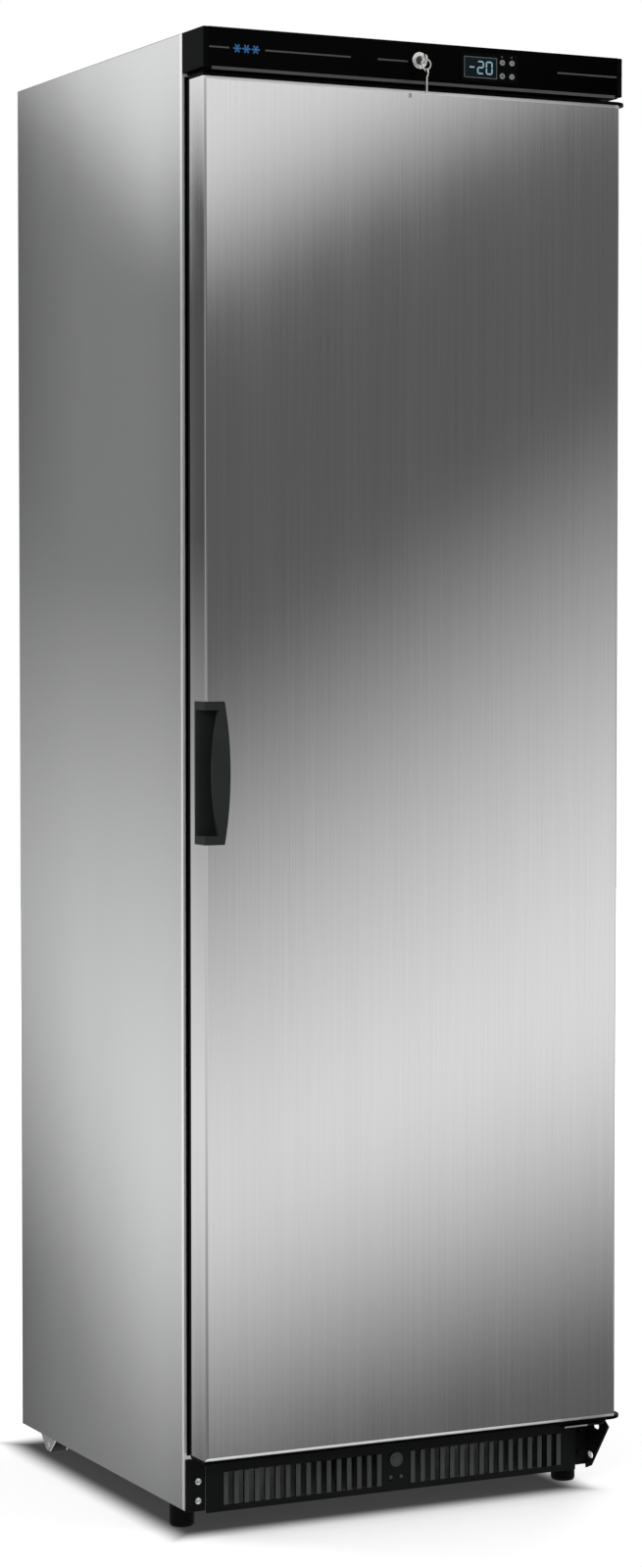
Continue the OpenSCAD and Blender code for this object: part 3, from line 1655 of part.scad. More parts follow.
// Threaded gland that takes the mains cable
module cable_gland() {
    color(black) placed() difference() {
        union() {
            bar_y(gland_x, gland_z, vent_y + 2, cab_d - 0.4, gland_head_d);
            bar_y(gland_x, gland_z, vent_y - 12, vent_y + 3, gland_body_d);
            difference() {
                bar_y(gland_x, gland_z, vent_y - 5, vent_y,
                    gland_head_d + 1);
                bar_y(gland_x, gland_z, vent_y - 6, vent_y + over,
                    gland_body_d - 1);
            }
        }
        bar_y(gland_x, gland_z, vent_y - 20, cab_d + over, cable_d + 0.4);
    }
}

left_side_panel();
right_side_panel();
top_panel();
rear_panel();
base_panel();
base_tray();
cabinet_foam();
inner_liner();
front_grille();
corner_plate();
lower_hinge_bracket();
upper_hinge_bracket();
cabinet_screws();
fascia_housing();
fascia_end_caps();
fascia_panel();
controller();
display_window();
lock_barrel();
shelf_1();
shelf_2();
shelf_3();
shelf_4();
shelf_uprights();
evaporator();
evaporator_cover();
evaporator_fan_motor();
compressor();
compressor_mounts();
condenser();
condenser_shroud();
condenser_fan_motor();
refrigerant_lines();
evaporation_tray();
drain_pipe();
rear_grille();
cable_gland();
roller_brackets();
door_skin();
door_foam();
door_liner();
door_top_cap();
door_bottom_cap();
door_gasket();
door_handle();
hinge_bushes();
left_foot();
right_foot();
left_roller();
right_roller();
lock_plug();
key();
key_ring();
spare_key();
button_1();
button_2();
button_3();
button_4();
evaporator_fan();
condenser_fan();
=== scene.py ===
import json
import math

import bmesh
import bpy
from mathutils import Matrix, Vector


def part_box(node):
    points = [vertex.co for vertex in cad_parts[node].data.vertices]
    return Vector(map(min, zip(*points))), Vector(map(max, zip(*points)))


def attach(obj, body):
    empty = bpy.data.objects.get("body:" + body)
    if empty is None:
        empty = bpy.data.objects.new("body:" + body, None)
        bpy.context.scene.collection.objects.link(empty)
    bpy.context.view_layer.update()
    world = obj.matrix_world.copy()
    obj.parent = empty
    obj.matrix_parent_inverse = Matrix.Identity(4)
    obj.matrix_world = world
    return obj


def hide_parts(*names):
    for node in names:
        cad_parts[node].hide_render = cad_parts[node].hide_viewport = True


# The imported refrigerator, and its box before it is dressed
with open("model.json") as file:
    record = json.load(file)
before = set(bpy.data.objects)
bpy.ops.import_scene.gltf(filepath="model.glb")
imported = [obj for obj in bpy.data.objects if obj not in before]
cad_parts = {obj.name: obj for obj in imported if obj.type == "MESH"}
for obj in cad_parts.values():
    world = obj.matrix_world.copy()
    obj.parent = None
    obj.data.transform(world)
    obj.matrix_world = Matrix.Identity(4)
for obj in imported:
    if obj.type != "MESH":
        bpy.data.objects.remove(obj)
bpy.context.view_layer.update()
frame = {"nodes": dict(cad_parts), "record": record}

MM = 0.001
record = frame["record"]
slot_of = {part["node"]: part["material_slot"] for part in record["subparts"]}
body_of = {node: body for body, nodes in record["behaviour"]["bodies"].items() for node in nodes}


# Node trees

# Sockets of a Mix node that blends colours
COLOUR_A = 6
COLOUR_B = 7
COLOUR_OUT = 2


def add_node(tree, kind, **inputs):
    """A shader node, with its inputs set by name; an underscore stands for a space."""
    node = tree.nodes.new("ShaderNode" + kind)
    for name, value in inputs.items():
        node.inputs[name.replace("_", " ")].default_value = value
    return node


def arithmetic(tree, operation, first, second=0.0):
    """A Math node; each side is a number or another node's output."""
    node = tree.nodes.new("ShaderNodeMath")
    node.operation = operation
    for socket, side in zip(node.inputs, (first, second)):
        if isinstance(side, (int, float)):
            socket.default_value = side
        else:
            tree.links.new(side, socket)
    return node.outputs[0]


def multiply(tree, first, second):
    """The product of two numbers or outputs."""
    return arithmetic(tree, "MULTIPLY", first, second)


def remap(tree, value, low, high, to_low, to_high, smooth=False):
    """A clamped Map Range of a value."""
    node = add_node(tree, "MapRange", From_Min=low, From_Max=high, To_Min=to_low, To_Max=to_high)
    if smooth:
        node.interpolation_type = "SMOOTHSTEP"
    tree.links.new(value, node.inputs["Value"])
    return node.outputs[0]


def blend_colours(tree, factor, first, second):
    """A colour between two colours."""
    node = tree.nodes.new("ShaderNodeMix")
    node.data_type = "RGBA"
    tree.links.new(factor, node.inputs[0])
    node.inputs[COLOUR_A].default_value = (*first, 1)
    node.inputs[COLOUR_B].default_value = (*second, 1)
    return node.outputs[COLOUR_OUT]


def object_place(tree):
    """The object's own coordinates."""
    return add_node(tree, "TexCoord").outputs["Object"]


def split_axes(tree, vector):
    """A node that splits a vector into X, Y and Z."""
    axes = add_node(tree, "SeparateXYZ")
    tree.links.new(vector, axes.inputs[0])
    return axes


def new_group(name, inputs, outputs):
    """A shader node group with named inputs and number outputs, and its two ends."""
    group = bpy.data.node_groups.new(name, "ShaderNodeTree")
    for label, value in inputs.items():
        kind = "NodeSocketVector" if isinstance(value, tuple) else "NodeSocketFloat"
        socket = group.interface.new_socket(label, in_out="INPUT", socket_type=kind)
        socket.default_value = value
    for label in outputs:
        group.interface.new_socket(label, in_out="OUTPUT", socket_type="NodeSocketFloat")
    return group, group.nodes.new("NodeGroupInput"), group.nodes.new("NodeGroupOutput")


def scaled_place(group, start):
    """The object's own coordinates times the group's Scale."""
    scale = group.nodes.new("ShaderNodeVectorMath")
    scale.operation = "MULTIPLY"
    group.links.new(object_place(group), scale.inputs[0])
    group.links.new(start.outputs["Scale"], scale.inputs[1])
    return scale.outputs[0]


def make_drawn_grain():
    """The fine lines of brushed or drawn metal: long along one axis, narrow across it."""
    group, start, end = new_group(
        "drawn grain", {"Scale": (900.0, 900.0, 12.0)}, ["Streak", "Cloud"],
    )
    place = scaled_place(group, start)
    streak = add_node(group, "TexNoise", Scale=1.0, Detail=3.0, Roughness=0.6)
    cloud = add_node(group, "TexNoise", Scale=0.012, Detail=2.0, Roughness=0.5)
    group.links.new(place, streak.inputs["Vector"])
    group.links.new(place, cloud.inputs["Vector"])
    group.links.new(remap(group, streak.outputs["Fac"], 0.25, 0.75, 0, 1), end.inputs["Streak"])
    group.links.new(remap(group, cloud.outputs["Fac"], 0.3, 0.7, 0, 1), end.inputs["Cloud"])
    return group


def make_moulded_skin():
    """The spark-eroded grain of a moulding, and the slow change of its tone."""
    group, start, end = new_group(
        "moulded skin", {"Scale": (1400.0, 1400.0, 1400.0)}, ["Grain", "Mottle"],
    )
    place = scaled_place(group, start)
    grain = add_node(group, "TexNoise", Scale=1.0, Detail=4.0, Roughness=0.65)
    mottle = add_node(group, "TexNoise", Scale=0.02, Detail=2.0, Roughness=0.5)
    group.links.new(place, grain.inputs["Vector"])
    group.links.new(place, mottle.inputs["Vector"])
    group.links.new(remap(group, grain.outputs["Fac"], 0.3, 0.7, 0, 1), end.inputs["Grain"])
    group.links.new(remap(group, mottle.outputs["Fac"], 0.3, 0.7, 0, 1), end.inputs["Mottle"])
    return group


def make_zinc_spangle():
    """The crystals of hot zinc on sheet."""
    group, start, end = new_group(
        "zinc spangle", {"Scale": (320.0, 320.0, 320.0)}, ["Crystal", "Edge"],
    )
    place = scaled_place(group, start)
    cells = add_node(group, "TexVoronoi", Scale=1.0)
    group.links.new(place, cells.inputs["Vector"])
    tone = add_node(group, "SeparateColor")
    group.links.new(cells.outputs["Color"], tone.inputs[0])
    group.links.new(tone.outputs[0], end.inputs["Crystal"])
    group.links.new(remap(group, cells.outputs["Distance"], 0.2, 0.9, 0, 1), end.inputs["Edge"])
    return group


def make_settled_dust():
    """A thin film that lies on faces that look up."""
    group, start, end = new_group(
        "settled dust", {"Scale": (60.0, 60.0, 60.0), "Amount": 0.2}, ["Film"],
    )
    place = scaled_place(group, start)
    patch = add_node(group, "TexNoise", Scale=1.0, Detail=3.0)
    group.links.new(place, patch.inputs["Vector"])
    facing = split_axes(group, add_node(group, "NewGeometry").outputs["Normal"])
    upward = remap(group, facing.outputs["Z"], 0.3, 1.0, 0, 1)
    broken = remap(group, patch.outputs["Fac"], 0.35, 0.65, 0.3, 1)
    film = multiply(group, upward, broken)
    group.links.new(multiply(group, film, start.outputs["Amount"]), end.inputs["Film"])
    return group


DRAWN_GRAIN = make_drawn_grain()
MOULDED_SKIN = make_moulded_skin()
ZINC_SPANGLE = make_zinc_spangle()
SETTLED_DUST = make_settled_dust()


def use_group(tree, group, **inputs):
    """A group placed in a material's tree, with its own values."""
    node = tree.nodes.new("ShaderNodeGroup")
    node.node_tree = group
    for name, value in inputs.items():
        node.inputs[name].default_value = value
    return node


def new_finish(name, **inputs):
    """A material, its tree and its shader, with the values that are the same all over it."""
    material = bpy.data.materials.new(name)
    material.use_nodes = True
    shader = material.node_tree.nodes["Principled BSDF"]
    for label, value in inputs.items():
        shader.inputs[label.replace("_", " ")].default_value = value
    return material, material.node_tree, shader


def raise_skin(tree, shader, height, strength, depth):
    """Bump on a shader from a height."""
    bump = add_node(tree, "Bump", Strength=strength, Distance=depth)
    tree.links.new(height, bump.inputs["Height"])
    tree.links.new(bump.outputs[0], shader.inputs["Normal"])


def tint_over(tree, shader, share, colour):
    """A colour over a shader's own one, as far as a share goes."""
    own = shader.inputs["Base Color"].links[0].from_socket
    tinted = blend_colours(tree, share, (0, 0, 0), colour)
    tree.links.new(own, tinted.node.inputs[COLOUR_A])
    tree.links.new(tinted, shader.inputs["Base Color"])


# Finishes. Each one gives its dark and its pale tone, its span of roughness, how fine its grain is
# and how strong its bump is.

GLOSS_DRIFT = 0.006
GRAIN_DEPTH = 0.1 * MM
SKIN_DEPTH = 0.05 * MM
DUST_TONE = (0.32, 0.31, 0.29)


def drawn_metal(name, dark, pale, rough, scale, bump=0.05, metallic=1.0):
    """Metal with a directed grain: its tone and its gloss change from line to line."""
    material, tree, shader = new_finish(name, Metallic=metallic)
    grain = use_group(tree, DRAWN_GRAIN, Scale=scale)
    tone = blend_colours(tree, grain.outputs["Streak"], dark, pale)
    tree.links.new(tone, shader.inputs["Base Color"])
    lines = remap(tree, grain.outputs["Streak"], 0, 1, *rough)
    clouds = remap(tree, grain.outputs["Cloud"], 0, 1, -GLOSS_DRIFT, GLOSS_DRIFT)
    tree.links.new(arithmetic(tree, "ADD", lines, clouds), shader.inputs["Roughness"])
    raise_skin(tree, shader, grain.outputs["Streak"], bump, GRAIN_DEPTH)
    return material


def moulding(name, dark, pale, rough, grain_size=1400.0, bump=0.12, dust=0.0, **fixed):
    """Moulded plastic or rubber with a fine skin, and a little dust where it looks up."""
    material, tree, shader = new_finish(name, **fixed)
    skin = use_group(tree, MOULDED_SKIN, Scale=(grain_size, grain_size, grain_size))
    tone = blend_colours(tree, skin.outputs["Mottle"], dark, pale)
    film = use_group(tree, SETTLED_DUST, Amount=dust)
    dusty = blend_colours(tree, film.outputs["Film"], dark, DUST_TONE)
    tree.links.new(tone, dusty.node.inputs[COLOUR_A])
    tree.links.new(dusty, shader.inputs["Base Color"])
    tree.links.new(remap(tree, skin.outputs["Grain"], 0, 1, *rough), shader.inputs["Roughness"])
    raise_skin(tree, shader, skin.outputs["Grain"], bump, SKIN_DEPTH)
    return material


def door_steel():
    return drawn_metal(
        "door steel", (0.68, 0.68, 0.68), (0.76, 0.76, 0.765), (0.07, 0.09), (900.0, 900.0, 3.0), 0.02,
    )


# The door's side faces: the same steel, smoother, and paler as a painted highlight
def door_side_steel_highlight():
    return drawn_metal(
        "door side steel painted highlight", (0.79, 0.79, 0.79), (0.84, 0.84, 0.845), (0.03, 0.045),
        (900.0, 900.0, 3.0), 0.01,
    )


# Painted shade on the folds of the door: where it darkens them, from its middle line to the hinge side,
# and how far
FOLD_PAINTED_SHADE_START = 50.0 * MM
FOLD_PAINTED_SHADE_END = 280.0 * MM
FOLD_PAINTED_SHADE_SHARE = 0.75
FOLD_PAINTED_SHADE_TONE = (0.25, 0.25, 0.25)


def fold_painted_highlight_and_shade():
    """The pressed folds over and under the door: pale as a painted highlight, with painted shade darker
    towards the hinge side.
    """
    material = drawn_metal(
        "fold steel with painted highlight and shade", (0.92, 0.92, 0.92), (0.98, 0.98, 0.98), (0.12, 0.18), (3.0, 900.0, 900.0), 0.01,
        metallic=0.25,
    )
    tree = material.node_tree
    across = split_axes(tree, object_place(tree)).outputs["X"]
    painted_shade = remap(tree, across, FOLD_PAINTED_SHADE_START, FOLD_PAINTED_SHADE_END, 0, FOLD_PAINTED_SHADE_SHARE)
    tint_over(tree, tree.nodes["Principled BSDF"], painted_shade, FOLD_PAINTED_SHADE_TONE)
    return material


# A painted highlight along the casing's folded front edge: its width, its soft end, its tone and its
# metallic
SIDE_FOLD_HIGHLIGHT_WIDTH = 6.0 * MM
SIDE_FOLD_HIGHLIGHT_FADE = 1.0 * MM
SIDE_FOLD_HIGHLIGHT_TONE = (0.92, 0.92, 0.92)
SIDE_FOLD_HIGHLIGHT_METALLIC = 0.62
SIDE_METALLIC = 0.88


def side_steel():
    """The casing's steel, with a paler, less metallic line painted along its folded front edge as a
    highlight.
    """
    material = drawn_metal(
        "side steel", (0.67, 0.675, 0.68), (0.72, 0.725, 0.73), (0.07, 0.09), (700.0, 700.0, 3.0), 0.02,
    )
    tree = material.node_tree
    shader = tree.nodes["Principled BSDF"]
    depth = split_axes(tree, object_place(tree)).outputs["Y"]
    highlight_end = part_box("left_side_panel")[0].y + SIDE_FOLD_HIGHLIGHT_WIDTH
    painted_highlight = remap(tree, depth, highlight_end, highlight_end + SIDE_FOLD_HIGHLIGHT_FADE, 1, 0)
    tint_over(tree, shader, painted_highlight, SIDE_FOLD_HIGHLIGHT_TONE)
    metallic = remap(tree, painted_highlight, 0, 1, SIDE_METALLIC, SIDE_FOLD_HIGHLIGHT_METALLIC)
    tree.links.new(metallic, shader.inputs["Metallic"])
    return material


def galvanised():
    """Zinc-coated sheet with its crystals."""
    material, tree, shader = new_finish("galvanised sheet", Metallic=0.85)
    spangle = use_group(tree, ZINC_SPANGLE).outputs
    tone = blend_colours(tree, spangle["Crystal"], (0.55, 0.56, 0.56), (0.62, 0.63, 0.63))
    tree.links.new(tone, shader.inputs["Base Color"])
    tree.links.new(remap(tree, spangle["Crystal"], 0, 1, 0.34, 0.44), shader.inputs["Roughness"])
    raise_skin(tree, shader, spangle["Edge"], 0.08, SKIN_DEPTH)
    return material


def foam():
    return moulding("insulation foam", (0.72, 0.64, 0.42), (0.86, 0.79, 0.56), (0.8, 0.95), 500.0, 0.5)


def liner():
    return moulding("liner plastic", (0.87, 0.88, 0.88), (0.885, 0.895, 0.895), (0.22, 0.3), 700.0, 0.04)


def black_plastic():
    return moulding(
        "black plastic", (0.003, 0.0042, 0.0036), (0.0048, 0.006, 0.0054), (0.4, 0.52), dust=0.03,
        Specular_IOR_Level=0.12,
    )


def fascia_black():
    return moulding(
        "fascia black", (0.0006, 0.0012, 0.0009), (0.001, 0.0018, 0.0014), (0.35, 0.45), dust=0.02,
        Specular_IOR_Level=0.03,
    )


def handle_black():
    return moulding(
        "handle black", (0.011, 0.014, 0.013), (0.014, 0.0175, 0.0165), (0.4, 0.5), dust=0.02,
        Specular_IOR_Level=0.2,
    )


def fascia_gloss():
    return moulding(
        "gloss black", (0.0004, 0.0004, 0.0005), (0.0007, 0.0007, 0.0008), (0.07, 0.1), 200.0, 0.01,
        Specular_IOR_Level=0.02,
    )


def bracket_black():
    return moulding(
        "black powder coat", (0.0022, 0.003, 0.0026), (0.0042, 0.005, 0.0046), (0.45, 0.6), 1100.0, 0.3,
        Specular_IOR_Level=0.1,
    )


def zinc():
    return drawn_metal(
        "bright zinc", (0.78, 0.78, 0.77), (0.9, 0.9, 0.88), (0.22, 0.32), (300.0, 300.0, 300.0), 0.03,
    )


def nickel():
    return drawn_metal(
        "polished nickel", (0.8, 0.79, 0.77), (0.88, 0.87, 0.85), (0.1, 0.18), (500.0, 500.0, 120.0), 0.02,
    )


# A darkened copy of the polished nickel: painted shade for the lock's core
def nickel_painted_shade():
    return drawn_metal(
        "nickel with painted shade", (0.09, 0.09, 0.088), (0.13, 0.13, 0.127), (0.22, 0.32), (500.0, 120.0, 500.0),
    )


def display():
    return moulding(
        "display window", (0.0012, 0.0035, 0.0055), (0.002, 0.007, 0.01), (0.05, 0.07), 300.0, 0.0,
        Specular_IOR_Level=0.1,
    )


def button():
    return moulding("button grey", (0.16, 0.155, 0.15), (0.2, 0.195, 0.19), (0.4, 0.5))


def wire_white():
    return moulding("coated wire", (0.8, 0.81, 0.81), (0.87, 0.88, 0.88), (0.25, 0.35), 900.0, 0.06)


def fin_aluminium():
    return drawn_metal(
        "fin aluminium", (0.7, 0.71, 0.72), (0.84, 0.85, 0.86), (0.28, 0.4), (500.0, 500.0, 20.0),
    )


def black_enamel():
    return moulding(
        "black enamel", (0.008, 0.008, 0.009), (0.014, 0.014, 0.015), (0.18, 0.26), 400.0, 0.1, dust=0.12,
        Specular_IOR_Level=0.5,
    )


def motor_grey():
    return moulding(
        "motor grey", (0.14, 0.15, 0.16), (0.2, 0.21, 0.22), (0.35, 0.5), 900.0, 0.2, Metallic=0.3,
    )


def copper():
    return drawn_metal(
        "copper tube", (0.62, 0.3, 0.17), (0.78, 0.42, 0.26), (0.22, 0.36), (240.0, 240.0, 240.0),
    )


def rubber():
    return moulding(
        "black rubber", (0.006, 0.006, 0.006), (0.011, 0.011, 0.011), (0.55, 0.7), 900.0, 0.15,
        Specular_IOR_Level=0.25,
    )


def nylon():
    return moulding("natural nylon", (0.78, 0.77, 0.72), (0.86, 0.85, 0.81), (0.3, 0.4), 800.0, 0.06)


def roller():
    return moulding(
        "roller plastic", (0.012, 0.012, 0.013), (0.02, 0.02, 0.021), (0.4, 0.55), dust=0.06,
    )


def fan_plastic():
    return moulding("fan plastic", (0.03, 0.03, 0.033), (0.05, 0.05, 0.055), (0.35, 0.45))


def drain():
    return moulding(
        "drain pipe plastic", (0.54, 0.55, 0.55), (0.62, 0.63, 0.63), (0.35, 0.45), 600.0, 0.06,
    )


def foot():
    return moulding(
        "foot plastic", (0.0012, 0.0013, 0.0012), (0.0022, 0.0023, 0.0022), (0.42, 0.55), dust=0.03,
        Specular_IOR_Level=0.08,
    )


# Paler grey on the grille's black plastic: a painted highlight, with a little dust
def rib_highlight_grey():
    return moulding(
        "grille rib highlight", (0.044, 0.0465, 0.0465), (0.052, 0.055, 0.055), (0.4, 0.5), dust=0.04,
        Specular_IOR_Level=0.25,
    )


# One grey for the fascia's printed upper line and for the painted highlight on its lower lip
def print_and_highlight_grey():
    return moulding(
        "dark print and lip highlight", (0.047, 0.046, 0.045), (0.056, 0.055, 0.054), (0.3, 0.4), 600.0, 0.04,
        Specular_IOR_Level=0.2,
    )


def print_blue():
    return moulding("blue print", (0.012, 0.09, 0.3), (0.03, 0.17, 0.42), (0.3, 0.35), 300.0, 0.0)


def window_grey():
    return moulding("window edge", (0.05, 0.052, 0.056), (0.065, 0.067, 0.07), (0.35, 0.45), 300.0, 0.0)


def button_print():
    return moulding("button print", (0.03, 0.03, 0.03), (0.045, 0.045, 0.045), (0.35, 0.45), 300.0, 0.0)


# The grey of the painted highlight on the hinge arm's front edge
def arm_highlight_finish():
    return drawn_metal(
        "hinge arm highlight", (0.26, 0.26, 0.255), (0.34, 0.34, 0.33), (0.35, 0.45), (60.0, 400.0, 400.0),
        metallic=0.5,
    )


GLOW_TONE = (0.45, 0.8, 0.95, 1)
GLOW_STRENGTH = 0.2


def lit_segment():
    """The figures of the display, which glow a little."""
    material = moulding("lit segment", (0.1, 0.18, 0.2), (0.14, 0.24, 0.27), (0.3, 0.4), 300.0, 0.0)
    shader = material.node_tree.nodes["Principled BSDF"]
    shader.inputs["Emission Color"].default_value = GLOW_TONE
    shader.inputs["Emission Strength"].default_value = GLOW_STRENGTH
    return material


# Each material slot of the CAD model has the finish of its own name
SLOT_FINISHES = {
    make.__name__: make()
    for make in (
        side_steel, door_steel, galvanised, foam, liner, black_plastic, fascia_gloss, bracket_black, zinc,
        nickel, display, button, wire_white, fin_aluminium, black_enamel, motor_grey, copper, rubber,
        nylon, roller, fan_plastic, drain, foot,
    )
}
RIB_HIGHLIGHT_GREY = rib_highlight_grey()
PRINT_AND_HIGHLIGHT_GREY = print_and_highlight_grey()
PRINT_BLUE = print_blue()
WINDOW_GREY = window_grey()
BUTTON_PRINT = button_print()
ARM_HIGHLIGHT_FINISH = arm_highlight_finish()
DOOR_SIDE_HIGHLIGHT = door_side_steel_highlight()
FOLD_HIGHLIGHT_AND_SHADE = fold_painted_highlight_and_shade()
LIT_SEGMENT = lit_segment()
FASCIA_BLACK = fascia_black()

# Pieces whose finish differs from their slot's common one
OWN_FINISHES = {
    "fascia_housing": FASCIA_BLACK, "fascia_end_caps": FASCIA_BLACK, "door_top_cap": FASCIA_BLACK,
    "door_bottom_cap": FASCIA_BLACK, "controller": FASCIA_BLACK, "door_handle": handle_black(),
    # The lock's core: nickel darkened as painted shade
    "lock_plug": nickel_painted_shade(),
}


# Pieces

WELD = 0.005 * MM
SAME_PLACE = 0.02 * MM
FLAT_ANGLE = math.radians(0.5)
CORNER_ANGLE = math.radians(28)
SHADE_ANGLE = math.radians(38)
CORNER_SEGMENTS = 2
FOLD_RADIUS = 2.6 * MM
FOLD_SEGMENTS = 5

# Corner radii, in mm, of the sheets and mouldings that are seen
CORNERS = {
    "left_side_panel": 0.5, "right_side_panel": 0.5, "top_panel": 0.5, "rear_panel": 0.2,
    "door_skin": 0.3, "door_top_cap": 0.8, "door_bottom_cap": 0.8, "door_handle": 0.8,
    "fascia_housing": 0.5, "fascia_panel": 0.4, "fascia_end_caps": 0.9, "front_grille": 0.35,
    "corner_plate": 0.5, "lower_hinge_bracket": 0.5, "upper_hinge_bracket": 0.5, "controller": 0.5,
    "display_window": 0.2, "lock_barrel": 0.4, "lock_plug": 0.25, "key": 0.3, "spare_key": 0.3,
    "left_foot": 0.6, "right_foot": 0.6, "left_roller": 0.8, "right_roller": 0.8,
    "roller_brackets": 0.3, "inner_liner": 0.8, "door_liner": 0.8, "evaporator_cover": 0.5,
    "rear_grille": 0.4, "base_panel": 0.3, "base_tray": 0.3, "cable_gland": 0.4,
    "shelf_uprights": 0.3, "evaporation_tray": 0.5, "button_1": 0.2, "button_2": 0.2,
    "button_3": 0.2, "button_4": 0.2, "door_gasket": 0.6,
}
ROUND_FOLDED = {"door_skin"}


def as_piece(shape, name, body, finish):
    """Ends a bmesh as a piece that rides on a body and wears its finish."""
    mesh = bpy.data.meshes.new(name)
    shape.to_mesh(mesh)
    shape.free()
    for polygon in mesh.polygons:
        polygon.use_smooth = True
    mesh.set_sharp_from_angle(angle=SHADE_ANGLE)
    mesh.materials.append(finish)
    piece = bpy.data.objects.new(name, mesh)
    bpy.context.scene.collection.objects.link(piece)
    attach(piece, body)
    return piece


def merged_copy(node):
    """A bmesh of a CAD node with its loose triangles joined."""
    shape = bmesh.new()
    shape.from_mesh(frame["nodes"][node].data)
    bmesh.ops.remove_doubles(shape, verts=shape.verts, dist=WELD)
    return shape


def round_edges(shape, edges, radius, segments):
    """Rounds edges of a shape."""
    bmesh.ops.bevel(
        shape, geom=edges, offset=radius, offset_type="OFFSET", segments=segments, profile=0.5,
        affect="EDGES", clamp_overlap=True, material=-1,
    )


def join_flat_faces(shape):
    """Makes one face of the triangles that lie in one plane."""
    bmesh.ops.dissolve_limit(shape, angle_limit=FLAT_ANGLE, verts=shape.verts, edges=shape.edges)


def round_corners(shape, radius):
    """Rounds every sharp edge of a closed shape."""
    join_flat_faces(shape)
    sharp = [
        edge for edge in shape.edges
        if len(edge.link_faces) == 2 and edge.calc_face_angle() > CORNER_ANGLE
    ]
    round_edges(shape, sharp, radius, CORNER_SEGMENTS)


def round_folds(shape):
    """Bends the front edges of a sheet on a radius, as a press brake leaves them."""
    join_flat_faces(shape)
    front = min(vertex.co.y for vertex in shape.verts) + SAME_PLACE
    folds = [
        edge for edge in shape.edges
        if all(vertex.co.y < front for vertex in edge.verts) and edge.calc_face_angle() > CORNER_ANGLE
    ]
    round_edges(shape, folds, FOLD_RADIUS, FOLD_SEGMENTS)


def dress(node):
    """Stands in for a CAD node with the same form, smoothly shaded and with rounded corners."""
    corner = CORNERS.get(node, 0.0) * MM
    shape = merged_copy(node)
    if node in ROUND_FOLDED:
        round_folds(shape)
    if corner:
        round_corners(shape, corner)
    slot = slot_of[node]
    finish = OWN_FINISHES.get(node, SLOT_FINISHES[slot])
    piece = as_piece(shape, node + "_dressed", body_of[node], finish)
    if corner:
        shading = piece.modifiers.new("even shading", "WEIGHTED_NORMAL")
        shading.keep_sharp = True
    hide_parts(node)


def dress_nodes():
    """Every CAD node gets its finish, and the ones that are seen get rounded corners too."""
    for node in frame["nodes"]:
        dress(node)


def add_bar(shape, centre, size, turn=0.0):
    """Adds a flat bar that faces forward, turned about the axis that points forward."""
    bar = bmesh.ops.create_cube(shape, size=1.0)["verts"]
    bmesh.ops.scale(shape, vec=size, verts=bar)
    bmesh.ops.rotate(shape, verts=bar, cent=(0, 0, 0), matrix=Matrix.Rotation(turn, 3, "Y"))
    bmesh.ops.translate(shape, vec=centre, verts=bar)


ROUND_SIDES = 24


def add_disc(shape, centre, radius, front_radius, thickness, sides=ROUND_SIDES, turn=0.0):
    """Adds a disc or a many-sided plate that faces forward, with its own radius in front."""
    disc = bmesh.ops.create_cone(
        shape, cap_ends=True, segments=sides, radius1=radius, radius2=front_radius, depth=thickness,
    )["verts"]
    forward = Matrix.Rotation(math.pi / 2, 3, "X")
    bmesh.ops.rotate(shape, verts=disc, cent=(0, 0, 0), matrix=forward)
    bmesh.ops.rotate(shape, verts=disc, cent=(0, 0, 0), matrix=Matrix.Rotation(turn, 3, "Y"))
    bmesh.ops.translate(shape, vec=centre, verts=disc)


def paint_faces(node, finish, chosen):
    """Gives a finish to the chosen faces of a dressed node."""
    mesh = bpy.data.objects[node + "_dressed"].data
    mesh.materials.append(finish)
    index = len(mesh.materials) - 1
    for polygon in mesh.polygons:
        if chosen(polygon):
            polygon.material_index = index


RIB_RISE = 0.9 * MM


def grille_rib_highlights():
    """The raised bars of the plinth grille get a paler grey than its body, a painted highlight on their
    front faces.
    """
    rib_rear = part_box("front_grille")[0].y + RIB_RISE
    paint_faces("front_grille", RIB_HIGHLIGHT_GREY, lambda face: face.center.y < rib_rear)


LOW_SCREWS_TOP = 110.0 * MM


def blackened_screws():
    """The screws of the lower hinge bracket are black like the bracket."""
    paint_faces(
        "cabinet_screws", SLOT_FINISHES["bracket_black"],
        lambda face: face.center.x > 0 and face.center.z < LOW_SCREWS_TOP,
    )


# How far a face's normal points to the side on the side faces, and how far it leans on the folds
SIDEWAYS = 0.9
TILTED = 0.1


def door_sides():
    """The door's side faces are smoother than its front and paler, a painted highlight; its upper and
    lower folds get a pale painted highlight with painted shade.
    """
    paint_faces("door_skin", DOOR_SIDE_HIGHLIGHT, lambda face: abs(face.normal.x) > SIDEWAYS)
    paint_faces(
        "door_skin", FOLD_HIGHLIGHT_AND_SHADE,
        lambda face: abs(face.normal.x) <= SIDEWAYS and face.normal.y < -TILTED
        and abs(face.normal.z) > TILTED,
    )


CLIP_SPREAD = 7.5 * MM
CLIP_UP = 18.5 * MM
CLIP_RADIUS = 2.6 * MM
CLIP_FRONT_RADIUS = 0.72 * CLIP_RADIUS
CLIP_THICKNESS = 0.8 * MM
CLIP_SUNK = 0.9 * CLIP_THICKNESS


def grille_clips():
    """Two clip heads in the holes under the middle ring of the grille, in the ribs' paler highlight grey.
    """
    low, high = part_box("front_grille")
    middle = (low.x + high.x) / 2
    shape = bmesh.new()
    for x in (middle - CLIP_SPREAD, middle + CLIP_SPREAD):
        centre = (x, low.y + CLIP_SUNK, low.z + CLIP_UP)
        add_disc(shape, centre, CLIP_RADIUS, CLIP_FRONT_RADIUS, CLIP_THICKNESS)
    as_piece(shape, "grille_clips", "cabinet", RIB_HIGHLIGHT_GREY)


